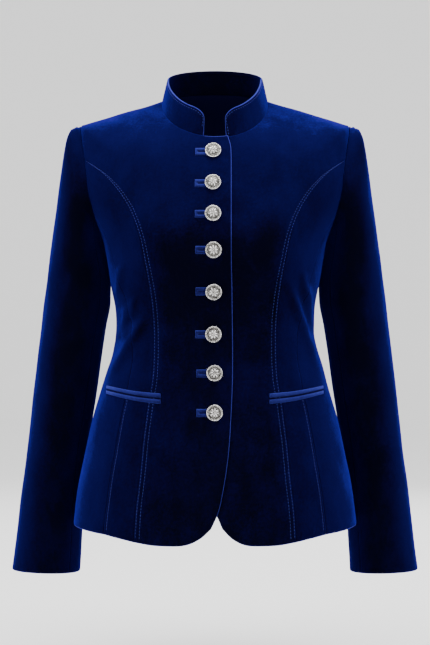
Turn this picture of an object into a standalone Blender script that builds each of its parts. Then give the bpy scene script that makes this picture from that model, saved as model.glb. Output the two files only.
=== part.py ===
"""Fitted trachten jacket of velvet, worn form with no wearer.

The frame: origin on the centre line at the height where the shoulder seams meet the neck,
+Z up, the front faces -Y and the wearer's right side is -X. Sizes are in millimetres here
and become metres where a mesh is made. Every panel is worked out for the wearer's left
side (+X) and is mirrored for the right one.
"""
import math
from collections import namedtuple

import bmesh
import bpy
import numpy as np
from mathutils import Vector
from mathutils.bvhtree import BVHTree

MM = 0.001
WALL = 2.0
COLLAR_WALL = 2.4
SEAM_GAP = 0.3
TRIM_GAP = 0.5
BUTTON_GAP = 0.8
SHARPEST_MITRE = 0.35
RIGHT = -1
LEFT = 1

# Body form: one row for each ring round the body, from the neck seam to below the hem.
# The side point lies on the shoulder seam in the first rows and under the arm lower down.
# A roundness of 2 is an ellipse, more is squarer. The drop exponent says how the ring
# falls from the side point to the front and back points: 1 is a flat ring.
Ring = namedtuple("Ring", "side_x side_y side_z front_y front_z back_y back_z "
                          "front_round back_round drop")
RINGS = (
    Ring(74.0, 25, 0, -65, -55, 65, 17, 2.0, 2.0, 1.0),
    Ring(109.0, 20, -9, -76, -73, 80, 2, 2.0, 2.0, 1.2),
    Ring(148.0, 15, -21.5, -87, -92, 92, -18, 2.0, 2.1, 1.5),
    Ring(177.0, 11, -31, -94.5, -108, 98, -37, 2.0, 2.2, 1.7),
    Ring(185.5, 10, -34, -97, -112, 100, -42, 2.0, 2.2, 1.8),
    Ring(187.5, 9, -66, -104, -128, 104, -72, 2.1, 2.3, 1.8),
    Ring(189.0, 9, -95, -110, -143, 106, -99, 2.2, 2.4, 1.8),
    Ring(185.0, 10, -130, -117, -162, 107, -131, 2.2, 2.4, 1.8),
    Ring(172.0, 11, -160, -121, -178, 106, -160, 2.2, 2.3, 1.8),
    Ring(158.0, 12, -184, -123, -192, 104, -184, 2.2, 2.2, 1.8),
    Ring(149.5, 11, -220, -123, -221, 99, -220, 2.2, 2.2, 1.8),
    Ring(143.5, 9, -255, -116, -255, 91, -255, 2.2, 2.2, 1.8),
    Ring(137.5, 7, -286, -108, -286, 84, -286, 2.2, 2.2, 1.8),
    Ring(136.3, 5, -312, -104, -312, 81, -312, 2.2, 2.2, 1.8),
    Ring(141.5, 3, -350, -104, -350, 84, -350, 2.2, 2.2, 1.8),
    Ring(153.0, 2, -385, -108, -385, 95, -385, 2.2, 2.2, 1.8),
    Ring(165.5, 1, -427, -113, -427, 111, -427, 2.2, 2.2, 1.8),
    Ring(179.5, 0, -488, -120, -488, 124, -488, 2.2, 2.2, 1.8),
    Ring(188.5, 0, -532, -124, -532, 128, -532, 2.2, 2.2, 1.8),
    Ring(194.0, 0, -575, -127, -575, 130, -575, 2.2, 2.2, 1.8),
    Ring(197.0, 0, -612, -128, -612, 131, -612, 2.2, 2.2, 1.8),
)
SHOULDER_RING = 4
FINE_STEP = 4.0
NORMAL_STEP = 0.25
SOFTENING = 24.0
SOFT_DOWN_TO = 330.0
SOFT_FADE = 90.0
SOFT_FACING = 1.6

# Soft fullness over the bust and the shoulder blade: place, spread and height.
Fullness = namedtuple("Fullness", "x z spread_x spread_z height faces")
FULLNESS = (
    Fullness(80, -196, 42, 48, 15, "front"),
    Fullness(82, -112, 48, 60, 5, "back"),
)

# Armhole seen from the side, from the shoulder down the front and from the shoulder down
# the back to the underarm: y and z.
ARMHOLE_FRONT = ((10, -34), (-3, -43), (-20, -64), (-34, -88), (-44, -114),
                 (-45, -140), (-35, -163), (-14, -180), (12, -184))
ARMHOLE_BACK = ((10, -34), (26, -43), (43, -66), (54, -94), (57, -122),
                (51, -150), (35, -174), (12, -184))
PRINCESS_AT = 0.165
SIDE_FRONT_AT = 0.375
SIDE_BACK_AT = 0.690

# Seams and edges seen from the front: x outward from the centre line, and z.
PRINCESS = ((152, -104), (129, -130), (112.5, -157), (100.6, -188), (93, -225),
            (87, -258), (83.3, -290), (81.8, -323), (83.2, -378), (88.7, -413),
            (94.6, -460), (99.7, -513), (104.6, -557), (106.7, -595.4))
FRONT_EDGE = ((-17.6, -56), (-21.2, -66), (-22, -76), (-21.9, -140), (-21.7, -211),
              (-22.7, -263), (-23.6, -320), (-23.8, -362), (-21.6, -426), (-18, -478),
              (-11.8, -521), (-3.9, -556), (5.2, -576))
FRONT_HEM = ((5.2, -576), (18.8, -588.4), (36.6, -597.0), (53.8, -599.2),
             (80.3, -598.8), (106.7, -595.4))

# Seams given by the angle round the body, from the centre front: degrees and z.
SIDE_FRONT_SEAM = ((68, -205), (63, -250), (59, -300), (56.5, -350), (56, -390),
                   (57, -440), (58, -500), (59, -587.5))
SIDE_BACK_SEAM = ((118, -170), (122, -230), (125, -310), (124, -390), (123, -480),
                  (122, -580))
SIDE_HEM = ((59, -587.5), (75, -584), (90, -581.5), (106, -580), (122, -580))
BACK_HEM = ((180, -584), (160, -583.5), (140, -582), (122, -580))

# The left front lies behind the right one: how far in, and where it comes back out.
LAP_DEPTH = WALL + 1.2
LAP_FROM = 40.0
LAP_TO = 86.0

# The left front's edge stands a little further out than the right one near the hem: by how
# much, the heights between which it starts, and how far from the centre it ends.
EDGE_OUT = 5.0
EDGE_OUT_FROM = -510.0
EDGE_OUT_FULL = -562.0
EDGE_OUT_TO = 45.0

# Creases pressed into the waist, one row each: the side of the wearer, the ends of the
# ridge seen from the front, its half width and its height.
Crease = namedtuple("Crease", "side x0 z0 x1 z1 width height")
CREASES = (
    Crease(RIGHT, 127, -233, 131, -266, 7, 2.6),
    Crease(RIGHT, 109, -275, 112, -300, 7, 2.0),
    Crease(RIGHT, 119, -286, 123, -324, 7, 2.6),
    Crease(RIGHT, 98, -306, 140, -373, 9, 3.6),
    Crease(LEFT, 102, -265, 143, -371, 9, 3.6),
    Crease(LEFT, 118, -241, 122, -269, 7, 2.2),
    Crease(LEFT, 126, -262, 129, -312, 7, 2.8),
)

CREASE_ENDS = 4
CREASES_TO_Y = 20

# Collar: the ring of its rim, and the radius of its front corners.
COLLAR_RIM = Ring(66.0, 24, 34, -60, -19, 61, 50, 2.0, 2.0, 1.0)
COLLAR_CORNER = 13.0

# Sleeve: one row for each level below the biceps, the outer, inner, front and back sides.
SleeveRing = namedtuple("SleeveRing", "z outer inner front back")
SLEEVE_RINGS = (
    SleeveRing(-215, 229.5, 151.3, -35, 73),
    SleeveRing(-245, 233.8, 145.8, -27, 80),
    SleeveRing(-275, 238.2, 146.0, -21, 85),
    SleeveRing(-310, 242.8, 152.0, -17, 87),
    SleeveRing(-344, 247.2, 157.2, -13, 89),
    SleeveRing(-414, 256.0, 167.6, -4, 94),
    SleeveRing(-484, 264.2, 179.0, 4, 98),
    SleeveRing(-555, 274.0, 186.0, 10, 99),
    SleeveRing(-598, 278.8, 187.0, 10, 96),
    SleeveRing(-652, 285.5, 190.0, 8, 92),
)
SLEEVE_ROUND = 2.1
CUFF_TILT = 3.0
CUFF_TILT_FROM = 598.0
HEAD_SHARPNESS = 0.042
HEAD_FULLNESS = 0.82
SIDE_SOFTNESS = 0.26
SLEEVE_SHIFT = 0.35
SLOPE_STEP = 12.0
SHARE_STEP = 0.002
HEAD_STEP = 0.02
DOWN_STEP = 3.0

# Pocket strips: ends of the slit seen from the front, on the wearer's left and right.
POCKET_SLIT = ((72.0, -406.6), (104, -403.6), (146.5, -396.6))
WELT_HEIGHT = 6.2
WELT_THICK = 1.3
WELT_SLIT = 0.6
WELT_STEPS = 16

# Buttons down the front: x and z of each centre, top to bottom.
BUTTONS = ((-2.5, -78.0), (-2.8, -121.9), (-2.6, -163.4), (-2.0, -210.8),
           (-1.7, -264.7), (-2.1, -321.3), (-0.6, -373.0), (-0.6, -424.8))
BUTTON_PROFILE = ((4.6, 4.7), (8.0, 3.6), (8.9, 2.9), (10.0, 3.3), (11.25, 2.0),
                  (11.1, 0.6), (9.8, 0.0))
BUTTON_TOP = 5.1
BUTTON_SEGMENTS = 20
BUTTON_UPRIGHT = 0.3
BUTTONHOLE_LENGTH = 23.8
BUTTONHOLE_HEIGHT = 10.4
HOLE_PAST_BUTTON = 1.5
LIP_THICK = 1.3

# Mesh steps along each seam.
SHOULDER_STEPS = 5
ARMHOLE_TOP_STEPS = 3
ARMHOLE_BACK_STEPS = 6
SIDE_FRONT_STEPS = 7
SIDE_STEPS = 6
DOWN_STEPS = 23
WAIST_CROWDING = 0.035
NECK_FRONT_TURNS = (0.0, 10.0, 22.0, 38.0, 56.0, 73.0, 90.0)
NECK_BACK_TURNS = (90.0, 104.0, 118.0, 133.0, 149.0, 165.0, 180.0)
SLEEVE_HEAD_STEPS = (0, 0.03, 0.08, 0.17, 0.32, 0.55, 0.78, 1)
SLEEVE_LEVELS = (-245, -275, -310, -344, -379, -414, -449, -484, -520, -555, -598, -652)


def smooth_table(keys, values, at):
    """Cubic curve through the rows of a table, read at the given keys."""
    keys = np.asarray(keys, float)
    values = np.asarray(values, float)
    steps = np.diff(values) / np.diff(keys)
    slopes = np.gradient(values, keys)
    inner = slopes[1:-1]
    limit = 3 * np.minimum(np.abs(steps[1:]), np.abs(steps[:-1]))
    inner[:] = np.where(steps[1:] * steps[:-1] > 0, np.clip(inner, -limit, limit), 0.25 * inner)
    at = np.clip(at, keys[0], keys[-1])
    row = np.clip(np.searchsorted(keys, at, side="right") - 1, 0, len(keys) - 2)
    span = keys[row + 1] - keys[row]
    s = (at - keys[row]) / span
    return ((1 + 2 * s) * (1 - s) ** 2 * values[row] + s * (1 - s) ** 2 * span * slopes[row]
            + s * s * (3 - 2 * s) * values[row + 1] + s * s * (s - 1) * span * slopes[row + 1])


def curve_through(points, fractions):
    """Points at fractions of the length of a smooth curve through the given points."""
    points = np.asarray(points, float)
    steps = np.linalg.norm(np.diff(points, axis=0), axis=1)
    length = np.concatenate(([0], np.cumsum(steps)))
    at = np.asarray(fractions, float) * length[-1]
    return np.stack([smooth_table(length, points[:, k], at) for k in range(points.shape[1])], -1)


RING_COLUMNS = {name: [getattr(ring, name) for ring in RINGS] for name in Ring._fields}
RING_SIDES = np.array([(ring.side_x, ring.side_y, ring.side_z) for ring in RINGS])
LEVELS = np.concatenate(([0], np.cumsum(np.linalg.norm(np.diff(RING_SIDES, axis=0), axis=1))))

FINE_LEVELS = np.arange(0, LEVELS[-1], FINE_STEP)


def soft_columns():
    """Ring sizes down the body, softened so that the chest rounds over under the shoulder."""
    reach = int(3 * SOFTENING / FINE_STEP)
    weight = np.exp(-0.5 * (np.arange(-reach, reach + 1) * FINE_STEP / SOFTENING) ** 2)
    weight /= weight.sum()
    soft = {}
    for name, column in RING_COLUMNS.items():
        fine = smooth_table(LEVELS, column, FINE_LEVELS)
        before = 2 * fine[0] - fine[reach:0:-1]
        after = 2 * fine[-1] - fine[-2:-reach - 2:-1]
        soft[name] = np.convolve(np.concatenate((before, fine, after)), weight, "valid")
    return soft


SOFT_COLUMNS = soft_columns()


def ring_point(ring, turn):
    """Point of a ring, turned by degrees from the centre front towards the side."""
    angle = np.radians(turn)
    sine = np.sin(angle)
    cosine = np.cos(angle)
    front = cosine >= 0
    depth = np.where(front, ring["side_y"] - ring["front_y"], ring["back_y"] - ring["side_y"])
    power = np.where(front, ring["front_round"], ring["back_round"])
    fall = np.where(front, ring["front_z"], ring["back_z"]) - ring["side_z"]
    reach = (np.abs(sine / ring["side_x"]) ** power
             + np.abs(cosine / depth) ** power) ** (-1 / power)
    share = np.clip(np.abs(reach * cosine) / depth, 0, 1)
    return np.stack((reach * sine, ring["side_y"] - reach * cosine,
                     ring["side_z"] + fall * share ** ring["drop"]), -1)


def body_point(turn, level):
    """Point of the body's outer form on the wearer's left side."""
    turn = np.asarray(turn, float)
    level = np.asarray(level, float)
    facing = np.abs(np.cos(np.radians(turn)))
    high = np.clip((SOFT_DOWN_TO - level) / SOFT_FADE, 0, 1)
    mix = np.clip(facing * SOFT_FACING, 0, 1) * high * high * (3 - 2 * high)
    ring = {}
    for name, column in RING_COLUMNS.items():
        sharp = smooth_table(LEVELS, column, level)
        ring[name] = sharp + (smooth_table(FINE_LEVELS, SOFT_COLUMNS[name], level) - sharp) * mix
    point = ring_point(ring, turn)
    for full in FULLNESS:
        near = (np.exp(-((point[..., 0] - full.x) / full.spread_x) ** 2)
                + np.exp(-((point[..., 0] + full.x) / full.spread_x) ** 2))
        near = near * np.exp(-((point[..., 2] - full.z) / full.spread_z) ** 2)
        toward = np.clip(np.cos(np.radians(turn)) * (1 if full.faces == "front" else -1), 0, 1)
        point[..., 1] += full.height * near * toward * (-1 if full.faces == "front" else 1)
    return point


def body_normal(turn, level):
    """Outward direction of the body's form."""
    round_body = body_point(turn + NORMAL_STEP, level) - body_point(turn - NORMAL_STEP, level)
    low = np.minimum(np.asarray(level, float) + NORMAL_STEP, LEVELS[-1])
    high = np.maximum(np.asarray(level, float) - NORMAL_STEP, 0)
    down_body = body_point(turn, low) - body_point(turn, high)
    normal = np.cross(down_body, round_body)
    return normal / np.linalg.norm(normal, axis=-1, keepdims=True)


def find_place(target, axes, turn, level):
    """Turn and level whose body point has the wanted two coordinates."""
    for _ in range(60):
        here = body_point(turn, level)[axes]
        if np.abs(here - target).max() < 1e-5:
            break
        by_turn = (body_point(turn + 0.05, level)[axes] - here) / 0.05
        by_level = (body_point(turn, level + 0.05)[axes] - here) / 0.05
        move = np.linalg.solve(np.stack((by_turn, by_level), -1), target - here)
        turn = turn + float(np.clip(move[0], -6, 6))
        level = float(np.clip(level + np.clip(move[1], -25, 25), 0, LEVELS[-1] - 0.1))
    return turn, level


def level_at(z):
    """Level of the flat rings, below the underarm, at a height."""
    return float(np.interp(-z, -RING_SIDES[:, 2], LEVELS))


def place_from_front(x, z):
    """Place of a point seen from the front."""
    level = level_at(z)
    width = float(np.interp(level, LEVELS, RING_SIDES[:, 0]))
    turn = math.degrees(math.asin(max(-0.95, min(0.95, x / width))))
    return find_place(np.array((x, z), float), [0, 2], turn, level)


def places_from_front(points, fractions):
    return np.array([place_from_front(x, z) for x, z in curve_through(points, fractions)])


def armhole_places():
    """Armhole from the shoulder round the front and the back: share of the way, place."""
    fractions = np.linspace(0, 1, 41)
    front = curve_through(ARMHOLE_FRONT, fractions)
    back = curve_through(ARMHOLE_BACK, fractions)[::-1]
    places = []
    turn, level = 90.0, LEVELS[SHOULDER_RING]
    for y, z in np.concatenate((front, back[1:])):
        turn, level = find_place(np.array((y, z), float), [1, 2], turn, level)
        places.append((turn, level))
    return np.linspace(0, 1, len(places)), np.array(places)


ARMHOLE_SHARES, ARMHOLE_PLACES = armhole_places()


def armhole_at(share):
    share = np.mod(share, 1)
    return np.stack([smooth_table(ARMHOLE_SHARES, ARMHOLE_PLACES[:, k], share) for k in (0, 1)], -1)


def places_by_angle(start, rows, fractions):
    """Places along a seam that is given by angle and height, below its first place."""
    below = [(turn, level_at(z)) for turn, z in rows]
    return curve_through([start] + below if start is not None else below, fractions)


def seam_fractions(steps):
    """Shares of a long seam's way down, closer together at the waist."""
    even = np.linspace(0, 1, steps + 1)
    return even - WAIST_CROWDING * np.sin(2 * np.pi * even) * np.sin(np.pi * even)


def edge_at_levels(places, levels):
    """Places of an edge at the given levels, spread over its own length."""
    share = (levels - levels[0]) / (levels[-1] - levels[0])
    start, end = places[0, 1], places[-1, 1]
    at = start + share * (end - start)
    return np.stack((np.interp(at, places[:, 1], places[:, 0]), at), -1)


def fill_patch(left, right, top, bottom, across=None):
    """Grid of places inside four sides: rows go down, columns from left to right."""
    across = np.linspace(0, 1, len(top)) if across is None else across
    v = np.linspace(0, 1, len(left))[:, None, None]
    u = across[None, :, None]
    sides = (1 - u) * left[:, None] + u * right[:, None]
    ends = (1 - v) * top[None] + v * bottom[None]
    corners = ((1 - u) * (1 - v) * top[0] + u * (1 - v) * top[-1]
               + (1 - u) * v * bottom[0] + u * v * bottom[-1])
    return sides + ends - corners


def shares_of(values):
    """Where each value lies between the first and the last."""
    values = np.asarray(values, float)
    return (values - values[0]) / (values[-1] - values[0])


def seam_lines():
    """Every seam and edge of the body as places, at the mesh steps."""
    down = seam_fractions(DOWN_STEPS)
    princess_top = armhole_at(PRINCESS_AT)
    princess_start = body_point(*princess_top)[[0, 2]]
    princess = places_from_front([tuple(princess_start)] + list(PRINCESS), down)
    princess[0] = princess_top
    side_front = places_by_angle(armhole_at(SIDE_FRONT_AT), SIDE_FRONT_SEAM, down)
    side_back = places_by_angle(armhole_at(SIDE_BACK_AT), SIDE_BACK_SEAM, down)
    shoulder = np.stack((np.full(SHOULDER_STEPS + 1, 90.0),
                         np.linspace(0, LEVELS[SHOULDER_RING], SHOULDER_STEPS + 1)), -1)
    front_top = armhole_at(np.linspace(0, PRINCESS_AT, ARMHOLE_TOP_STEPS + 1))
    back_top = armhole_at(np.linspace(1, SIDE_BACK_AT, ARMHOLE_BACK_STEPS + 1))
    front_side = np.concatenate((shoulder, front_top[1:], princess[1:]))
    back_side = np.concatenate((shoulder, back_top[1:], side_back[1:]))
    edge = places_from_front(FRONT_EDGE, np.linspace(0, 1, 61))
    edge[0, 1] = 0
    centre_back = np.array(((180.0, 0.0), (180.0, level_at(BACK_HEM[0][1]))))
    return {
        "edge": edge_at_levels(edge, front_side[:, 1]),
        "front_side": front_side,
        "princess": princess,
        "side_front": side_front,
        "side_back": side_back,
        "back_side": back_side,
        "centre_back": edge_at_levels(centre_back, back_side[:, 1]),
    }


def panel_places():
    """Grid of places of each panel of one half of the body."""
    lines = seam_lines()
    front_turns = np.array((lines["edge"][0, 0],) + NECK_FRONT_TURNS)
    neck_front = np.stack((front_turns, np.zeros(len(front_turns))), -1)
    neck_back = np.stack((NECK_BACK_TURNS, np.zeros(len(NECK_BACK_TURNS))), -1)
    front_across = shares_of(front_turns)
    back_across = shares_of(NECK_BACK_TURNS)
    front_hem = places_from_front(FRONT_HEM, front_across)
    front_hem[0] = lines["edge"][-1]
    front_hem[-1] = lines["princess"][-1]
    mid_hem = np.stack((lines["princess"][-1], lines["side_front"][-1]))
    back_hem = places_by_angle(None, BACK_HEM[::-1], back_across)
    back_hem[0] = lines["side_back"][-1]
    even = np.linspace(0, 1, SIDE_FRONT_STEPS + 1)
    return {
        "front": fill_patch(lines["edge"], lines["front_side"], neck_front, front_hem,
                            front_across),
        "side_front": fill_patch(lines["princess"], lines["side_front"],
                                 armhole_at(np.linspace(PRINCESS_AT, SIDE_FRONT_AT,
                                                        SIDE_FRONT_STEPS + 1)),
                                 curve_through(mid_hem, even)),
        "side": fill_patch(lines["side_front"], lines["side_back"],
                           armhole_at(np.linspace(SIDE_FRONT_AT, SIDE_BACK_AT, SIDE_STEPS + 1)),
                           places_by_angle(None, SIDE_HEM, np.linspace(0, 1, SIDE_STEPS + 1))),
        "back": fill_patch(lines["back_side"], lines["centre_back"], neck_back, back_hem,
                           back_across),
    }


def crease_height(point, side):
    """Height of the waist creases at a point, worked out on the wearer's left side."""
    height = np.zeros(point.shape[:-1])
    for crease in CREASES:
        if crease.side != side:
            continue
        start = np.array((crease.x0, crease.z0), float)
        way = np.array((crease.x1, crease.z1), float) - start
        offset = point[..., [0, 2]] - start
        along = (offset @ way) / (way @ way)
        aside = (offset[..., 0] * way[1] - offset[..., 1] * way[0]) / math.hypot(*way)
        fade = np.clip(np.minimum(along, 1 - along) * CREASE_ENDS + 0.5, 0, 1)
        facing = point[..., 1] < CREASES_TO_Y
        height += crease.height * fade * np.exp(-(aside / crease.width) ** 2) * facing
    return height


def lap_depth(x):
    """How far the left front and the left collar end lie behind the right ones."""
    s = np.clip((x - LAP_FROM) / (LAP_TO - LAP_FROM), 0, 1)
    return LAP_DEPTH * (1 - s * s * (3 - 2 * s))


def body_surface(places, side, front=False):
    """Outer points and normals of a grid of places, with creases and the lap."""
    turn, level = places[..., 0], places[..., 1]
    point = body_point(turn, level)
    normal = body_normal(turn, level)
    lift = crease_height(point, side)
    if front and side == LEFT:
        lift = lift - lap_depth(point[..., 0])
        low = np.clip((EDGE_OUT_FROM - point[..., 2]) / (EDGE_OUT_FROM - EDGE_OUT_FULL), 0, 1)
        point[..., 0] += EDGE_OUT * low * np.clip(1 - point[..., 0] / EDGE_OUT_TO, 0, 1)
    return point + normal * lift[..., None], normal


def pull_in(point, normal, amount):
    """The grid with its outline moved in along the cloth."""
    rows, columns = point.shape[:2]
    loop = ([(0, j) for j in range(columns - 1)] + [(i, columns - 1) for i in range(rows - 1)]
            + [(rows - 1, j) for j in range(columns - 1, 0, -1)]
            + [(i, 0) for i in range(rows - 1, 0, -1)])
    moved = point.copy()
    for k, here in enumerate(loop):
        before = point[loop[k - 1]]
        after = point[loop[(k + 1) % len(loop)]]
        inward = []
        for way in (point[here] - before, after - point[here]):
            side = np.cross(way, normal[here])
            inward.append(side / np.linalg.norm(side))
        mitre = max(1 + float(inward[0] @ inward[1]), SHARPEST_MITRE)
        moved[here] = point[here] + amount * (inward[0] + inward[1]) / mitre
    return moved


def new_material(name, colour, roughness, metallic=0.0):
    material = bpy.data.materials.new(name)
    material.use_nodes = True
    shader = material.node_tree.nodes["Principled BSDF"]
    shader.inputs["Base Color"].default_value = (*colour, 1)
    shader.inputs["Roughness"].default_value = roughness
    shader.inputs["Metallic"].default_value = metallic
    return material


def add_object(name, points, faces, material, side=LEFT):
    """One closed object from points in millimetres, mirrored for the right side."""
    points = np.asarray(points, float) * (side * MM, MM, MM)
    mesh = bpy.data.meshes.new(name)
    mesh.from_pydata([tuple(point) for point in points], [], faces)
    work = bmesh.new()
    work.from_mesh(mesh)
    bmesh.ops.recalc_face_normals(work, faces=work.faces)
    work.to_mesh(mesh)
    work.free()
    mesh.shade_smooth()
    mesh.set_sharp_from_angle(angle=math.radians(40))
    mesh.materials.append(material)
    made = bpy.data.objects.new(name, mesh)
    bpy.context.scene.collection.objects.link(made)
    return made


def grid_faces(rows, columns, first=0):
    return [(first + i * columns + j, first + (i + 1) * columns + j,
             first + (i + 1) * columns + j + 1, first + i * columns + j + 1)
            for i in range(rows - 1) for j in range(columns - 1)]


def add_sheet(name, outer, inner, material, side=LEFT):
    """A wall between two grids of points, closed all round its outline."""
    rows, columns = outer.shape[:2]
    count = rows * columns
    faces = grid_faces(rows, columns)
    faces += [face[::-1] for face in grid_faces(rows, columns, count)]
    loop = (list(range(columns - 1)) + [i * columns + columns - 1 for i in range(rows - 1)]
            + [(rows - 1) * columns + j for j in range(columns - 1, 0, -1)]
            + [i * columns for i in range(rows - 1, 0, -1)])
    for k, a in enumerate(loop):
        b = loop[(k + 1) % len(loop)]
        faces.append((a, b, b + count, a + count))
    points = np.concatenate((outer.reshape(-1, 3), inner.reshape(-1, 3)))
    return add_object(name, points, faces, material, side)


def add_body(velvet):
    """The eight panels. Gives the outer face of each half, which trims are laid on."""
    halves = {}
    for side, word in ((RIGHT, "right"), (LEFT, "left")):
        points, faces = [], []
        for part, places in panel_places().items():
            outer, normal = body_surface(places, side, part == "front")
            outer = pull_in(outer, normal, SEAM_GAP / 2)
            add_sheet(f"{word}_{part}", outer, outer - normal * WALL, velvet, side)
            faces += grid_faces(*outer.shape[:2], first=len(points))
            points += [tuple(point) for point in outer.reshape(-1, 3)]
        halves[side] = BVHTree.FromPolygons(points, faces)
    return halves


def collar_point(turn, height):
    """Collar between the neck seam and its rim, on the wearer's left for a turn over 0."""
    size = np.abs(turn)
    seam_turns = np.array(NECK_FRONT_TURNS + NECK_BACK_TURNS[1:])
    seam = body_point(seam_turns, np.zeros(len(seam_turns)))
    low = np.stack([np.interp(size, seam_turns, seam[:, k]) for k in range(3)], -1)
    high = ring_point(COLLAR_RIM._asdict(), size)
    point = low + (high - low) * np.asarray(height)[..., None]
    point[..., 0] *= np.sign(turn)
    return point


def add_collar(velvet):
    end, corner = NECK_FRONT_TURNS[1:3]
    round_turns = end + (corner - end) * np.array((0, 0.1, 0.32, 0.64))
    half = np.concatenate((round_turns, NECK_FRONT_TURNS[2:], NECK_BACK_TURNS[1:]))
    turns = np.concatenate((half, -half[-2::-1]))
    size = np.abs(turns)
    cloth = np.linalg.norm(collar_point(turns, np.ones(len(turns)))
                           - collar_point(turns, np.zeros(len(turns))), axis=-1)
    from_end = np.clip((size - end) / (corner - end), 0, 1)
    cut = COLLAR_CORNER * (1 - np.sqrt(1 - (1 - from_end) ** 2))
    top = 1 - cut / cloth
    heights = np.linspace(1, 0, 5)[:, None] * top[None, :]
    grid_turns = np.broadcast_to(turns, heights.shape)
    outer = collar_point(grid_turns, heights)
    across = np.gradient(outer, axis=1)
    upward = np.broadcast_to(collar_point(turns, np.ones(len(turns)))
                             - collar_point(turns, np.zeros(len(turns))), outer.shape)
    normal = np.cross(across, upward)
    normal /= np.linalg.norm(normal, axis=-1, keepdims=True)
    lap = np.where(grid_turns > 0, lap_depth(np.abs(outer[..., 0])), 0)
    lap = lap * (np.abs(grid_turns) < 90)
    outer = outer - normal * lap[..., None]
    outer = pull_in(outer, normal, SEAM_GAP / 2)
    add_sheet("collar", outer, outer - normal * COLLAR_WALL, velvet)


def sleeve_ring_point(share, z):
    """Point of the sleeve below its head: the share goes round from the outer side."""
    rows = -np.array([ring.z for ring in SLEEVE_RINGS], float)
    side = {name: smooth_table(rows, [getattr(ring, name) for ring in SLEEVE_RINGS], -z)
            for name in ("outer", "inner", "front", "back")}
    angle = 2 * np.pi * share
    power = SLEEVE_ROUND
    reach = (np.abs(np.cos(angle)) ** power + np.abs(np.sin(angle)) ** power) ** (-1 / power)
    across = (side["outer"] - side["inner"]) / 2
    deep = (side["back"] - side["front"]) / 2
    tilt = np.clip((-z - CUFF_TILT_FROM) / (rows[-1] - CUFF_TILT_FROM), 0, 1)
    return np.stack(((side["outer"] + side["inner"]) / 2 + across * reach * np.cos(angle),
                     (side["front"] + side["back"]) / 2 - deep * reach * np.sin(angle),
                     z - CUFF_TILT * tilt * (1 - np.cos(angle)) / 2), -1)


def sleeve_point(share, way):
    """Point of the sleeve: the way is 0 to 1 down the head, then the height below it."""
    share = np.asarray(share, float)
    way = np.asarray(way, float)
    top_z = float(SLEEVE_RINGS[0].z)
    seam = body_point(*np.moveaxis(armhole_at(share), -1, 0)) + (SLEEVE_SHIFT, 0, 0)
    biceps = sleeve_ring_point(share, np.full(share.shape, top_z))
    below = sleeve_ring_point(share, np.full(share.shape, top_z - SLOPE_STEP))
    down = (below - biceps) / SLOPE_STEP
    length = np.linalg.norm(biceps - seam, axis=-1, keepdims=True)
    bulge = ((biceps - seam) - length * down) * HEAD_FULLNESS
    top = np.clip(np.cos(2 * np.pi * share), 0, 1)[..., None] ** 2
    soft = SIDE_SOFTNESS + (HEAD_SHARPNESS - SIDE_SOFTNESS) * top
    s = np.clip(way, 0, 1)[..., None]
    head = (seam + (biceps - seam) * s
            + bulge * (1 - np.exp(-s / soft)) * (1 - s) / (1 - np.exp(-1 / soft)))
    lower = sleeve_ring_point(share, np.minimum(-np.abs(way), top_z))
    return np.where(way[..., None] >= 0, head, lower)


def sleeve_surface(shares, ways):
    """Outer points and normals of a sleeve's grid: rows go down, columns go round."""
    share, way = np.meshgrid(shares, ways)
    point = sleeve_point(share, way)
    round_arm = (sleeve_point(share + SHARE_STEP, way)
                 - sleeve_point(share - SHARE_STEP, way))
    low = np.where(way >= 0, np.minimum(way + HEAD_STEP, 1),
                   np.maximum(way - DOWN_STEP, SLEEVE_LEVELS[-1]))
    high = np.where(way >= 0, np.maximum(way - HEAD_STEP / 5, 0), way + DOWN_STEP)
    down_arm = sleeve_point(share, low) - sleeve_point(share, high)
    normal = np.cross(round_arm, down_arm)
    return point, normal / np.linalg.norm(normal, axis=-1, keepdims=True)


def armhole_shares():
    """Shares of the armhole at every mesh step, from the shoulder round the front."""
    return np.concatenate((
        np.linspace(0, PRINCESS_AT, ARMHOLE_TOP_STEPS + 1)[:-1],
        np.linspace(PRINCESS_AT, SIDE_FRONT_AT, SIDE_FRONT_STEPS + 1)[:-1],
        np.linspace(SIDE_FRONT_AT, SIDE_BACK_AT, SIDE_STEPS + 1)[:-1],
        np.linspace(SIDE_BACK_AT, 1, ARMHOLE_BACK_STEPS + 1)[:-1]))


def add_sleeves(velvet):
    shares = armhole_shares()
    front_seam = ARMHOLE_TOP_STEPS + SIDE_FRONT_STEPS
    back_seam = front_seam + SIDE_STEPS
    under = shares[front_seam:back_seam + 1]
    upper = np.concatenate((shares[back_seam:] - 1, shares[:front_seam + 1]))
    ways = np.array(SLEEVE_HEAD_STEPS + SLEEVE_LEVELS)
    for side, word in ((RIGHT, "right"), (LEFT, "left")):
        for part, columns in (("upper", upper), ("under", under)):
            outer, normal = sleeve_surface(columns, ways)
            outer = pull_in(outer[:, ::-1], normal[:, ::-1], SEAM_GAP / 2)[:, ::-1]
            add_sheet(f"{word}_{part}_sleeve", outer, outer - normal * WALL, velvet, side)


def on_front(half, side, x, z):
    """Point and normal on the outer faces of one half, or on its form where that is prouder."""
    point, normal = body_surface(np.array((place_from_front(x, z),)), side)
    point, normal = point[0], normal[0]
    hit = half.ray_cast(Vector(point + normal * 5), Vector(-normal), 10)[0]
    if hit is not None:
        point = point + normal * max(0, float((np.array(hit) - point) @ normal))
    return point, normal


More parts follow.
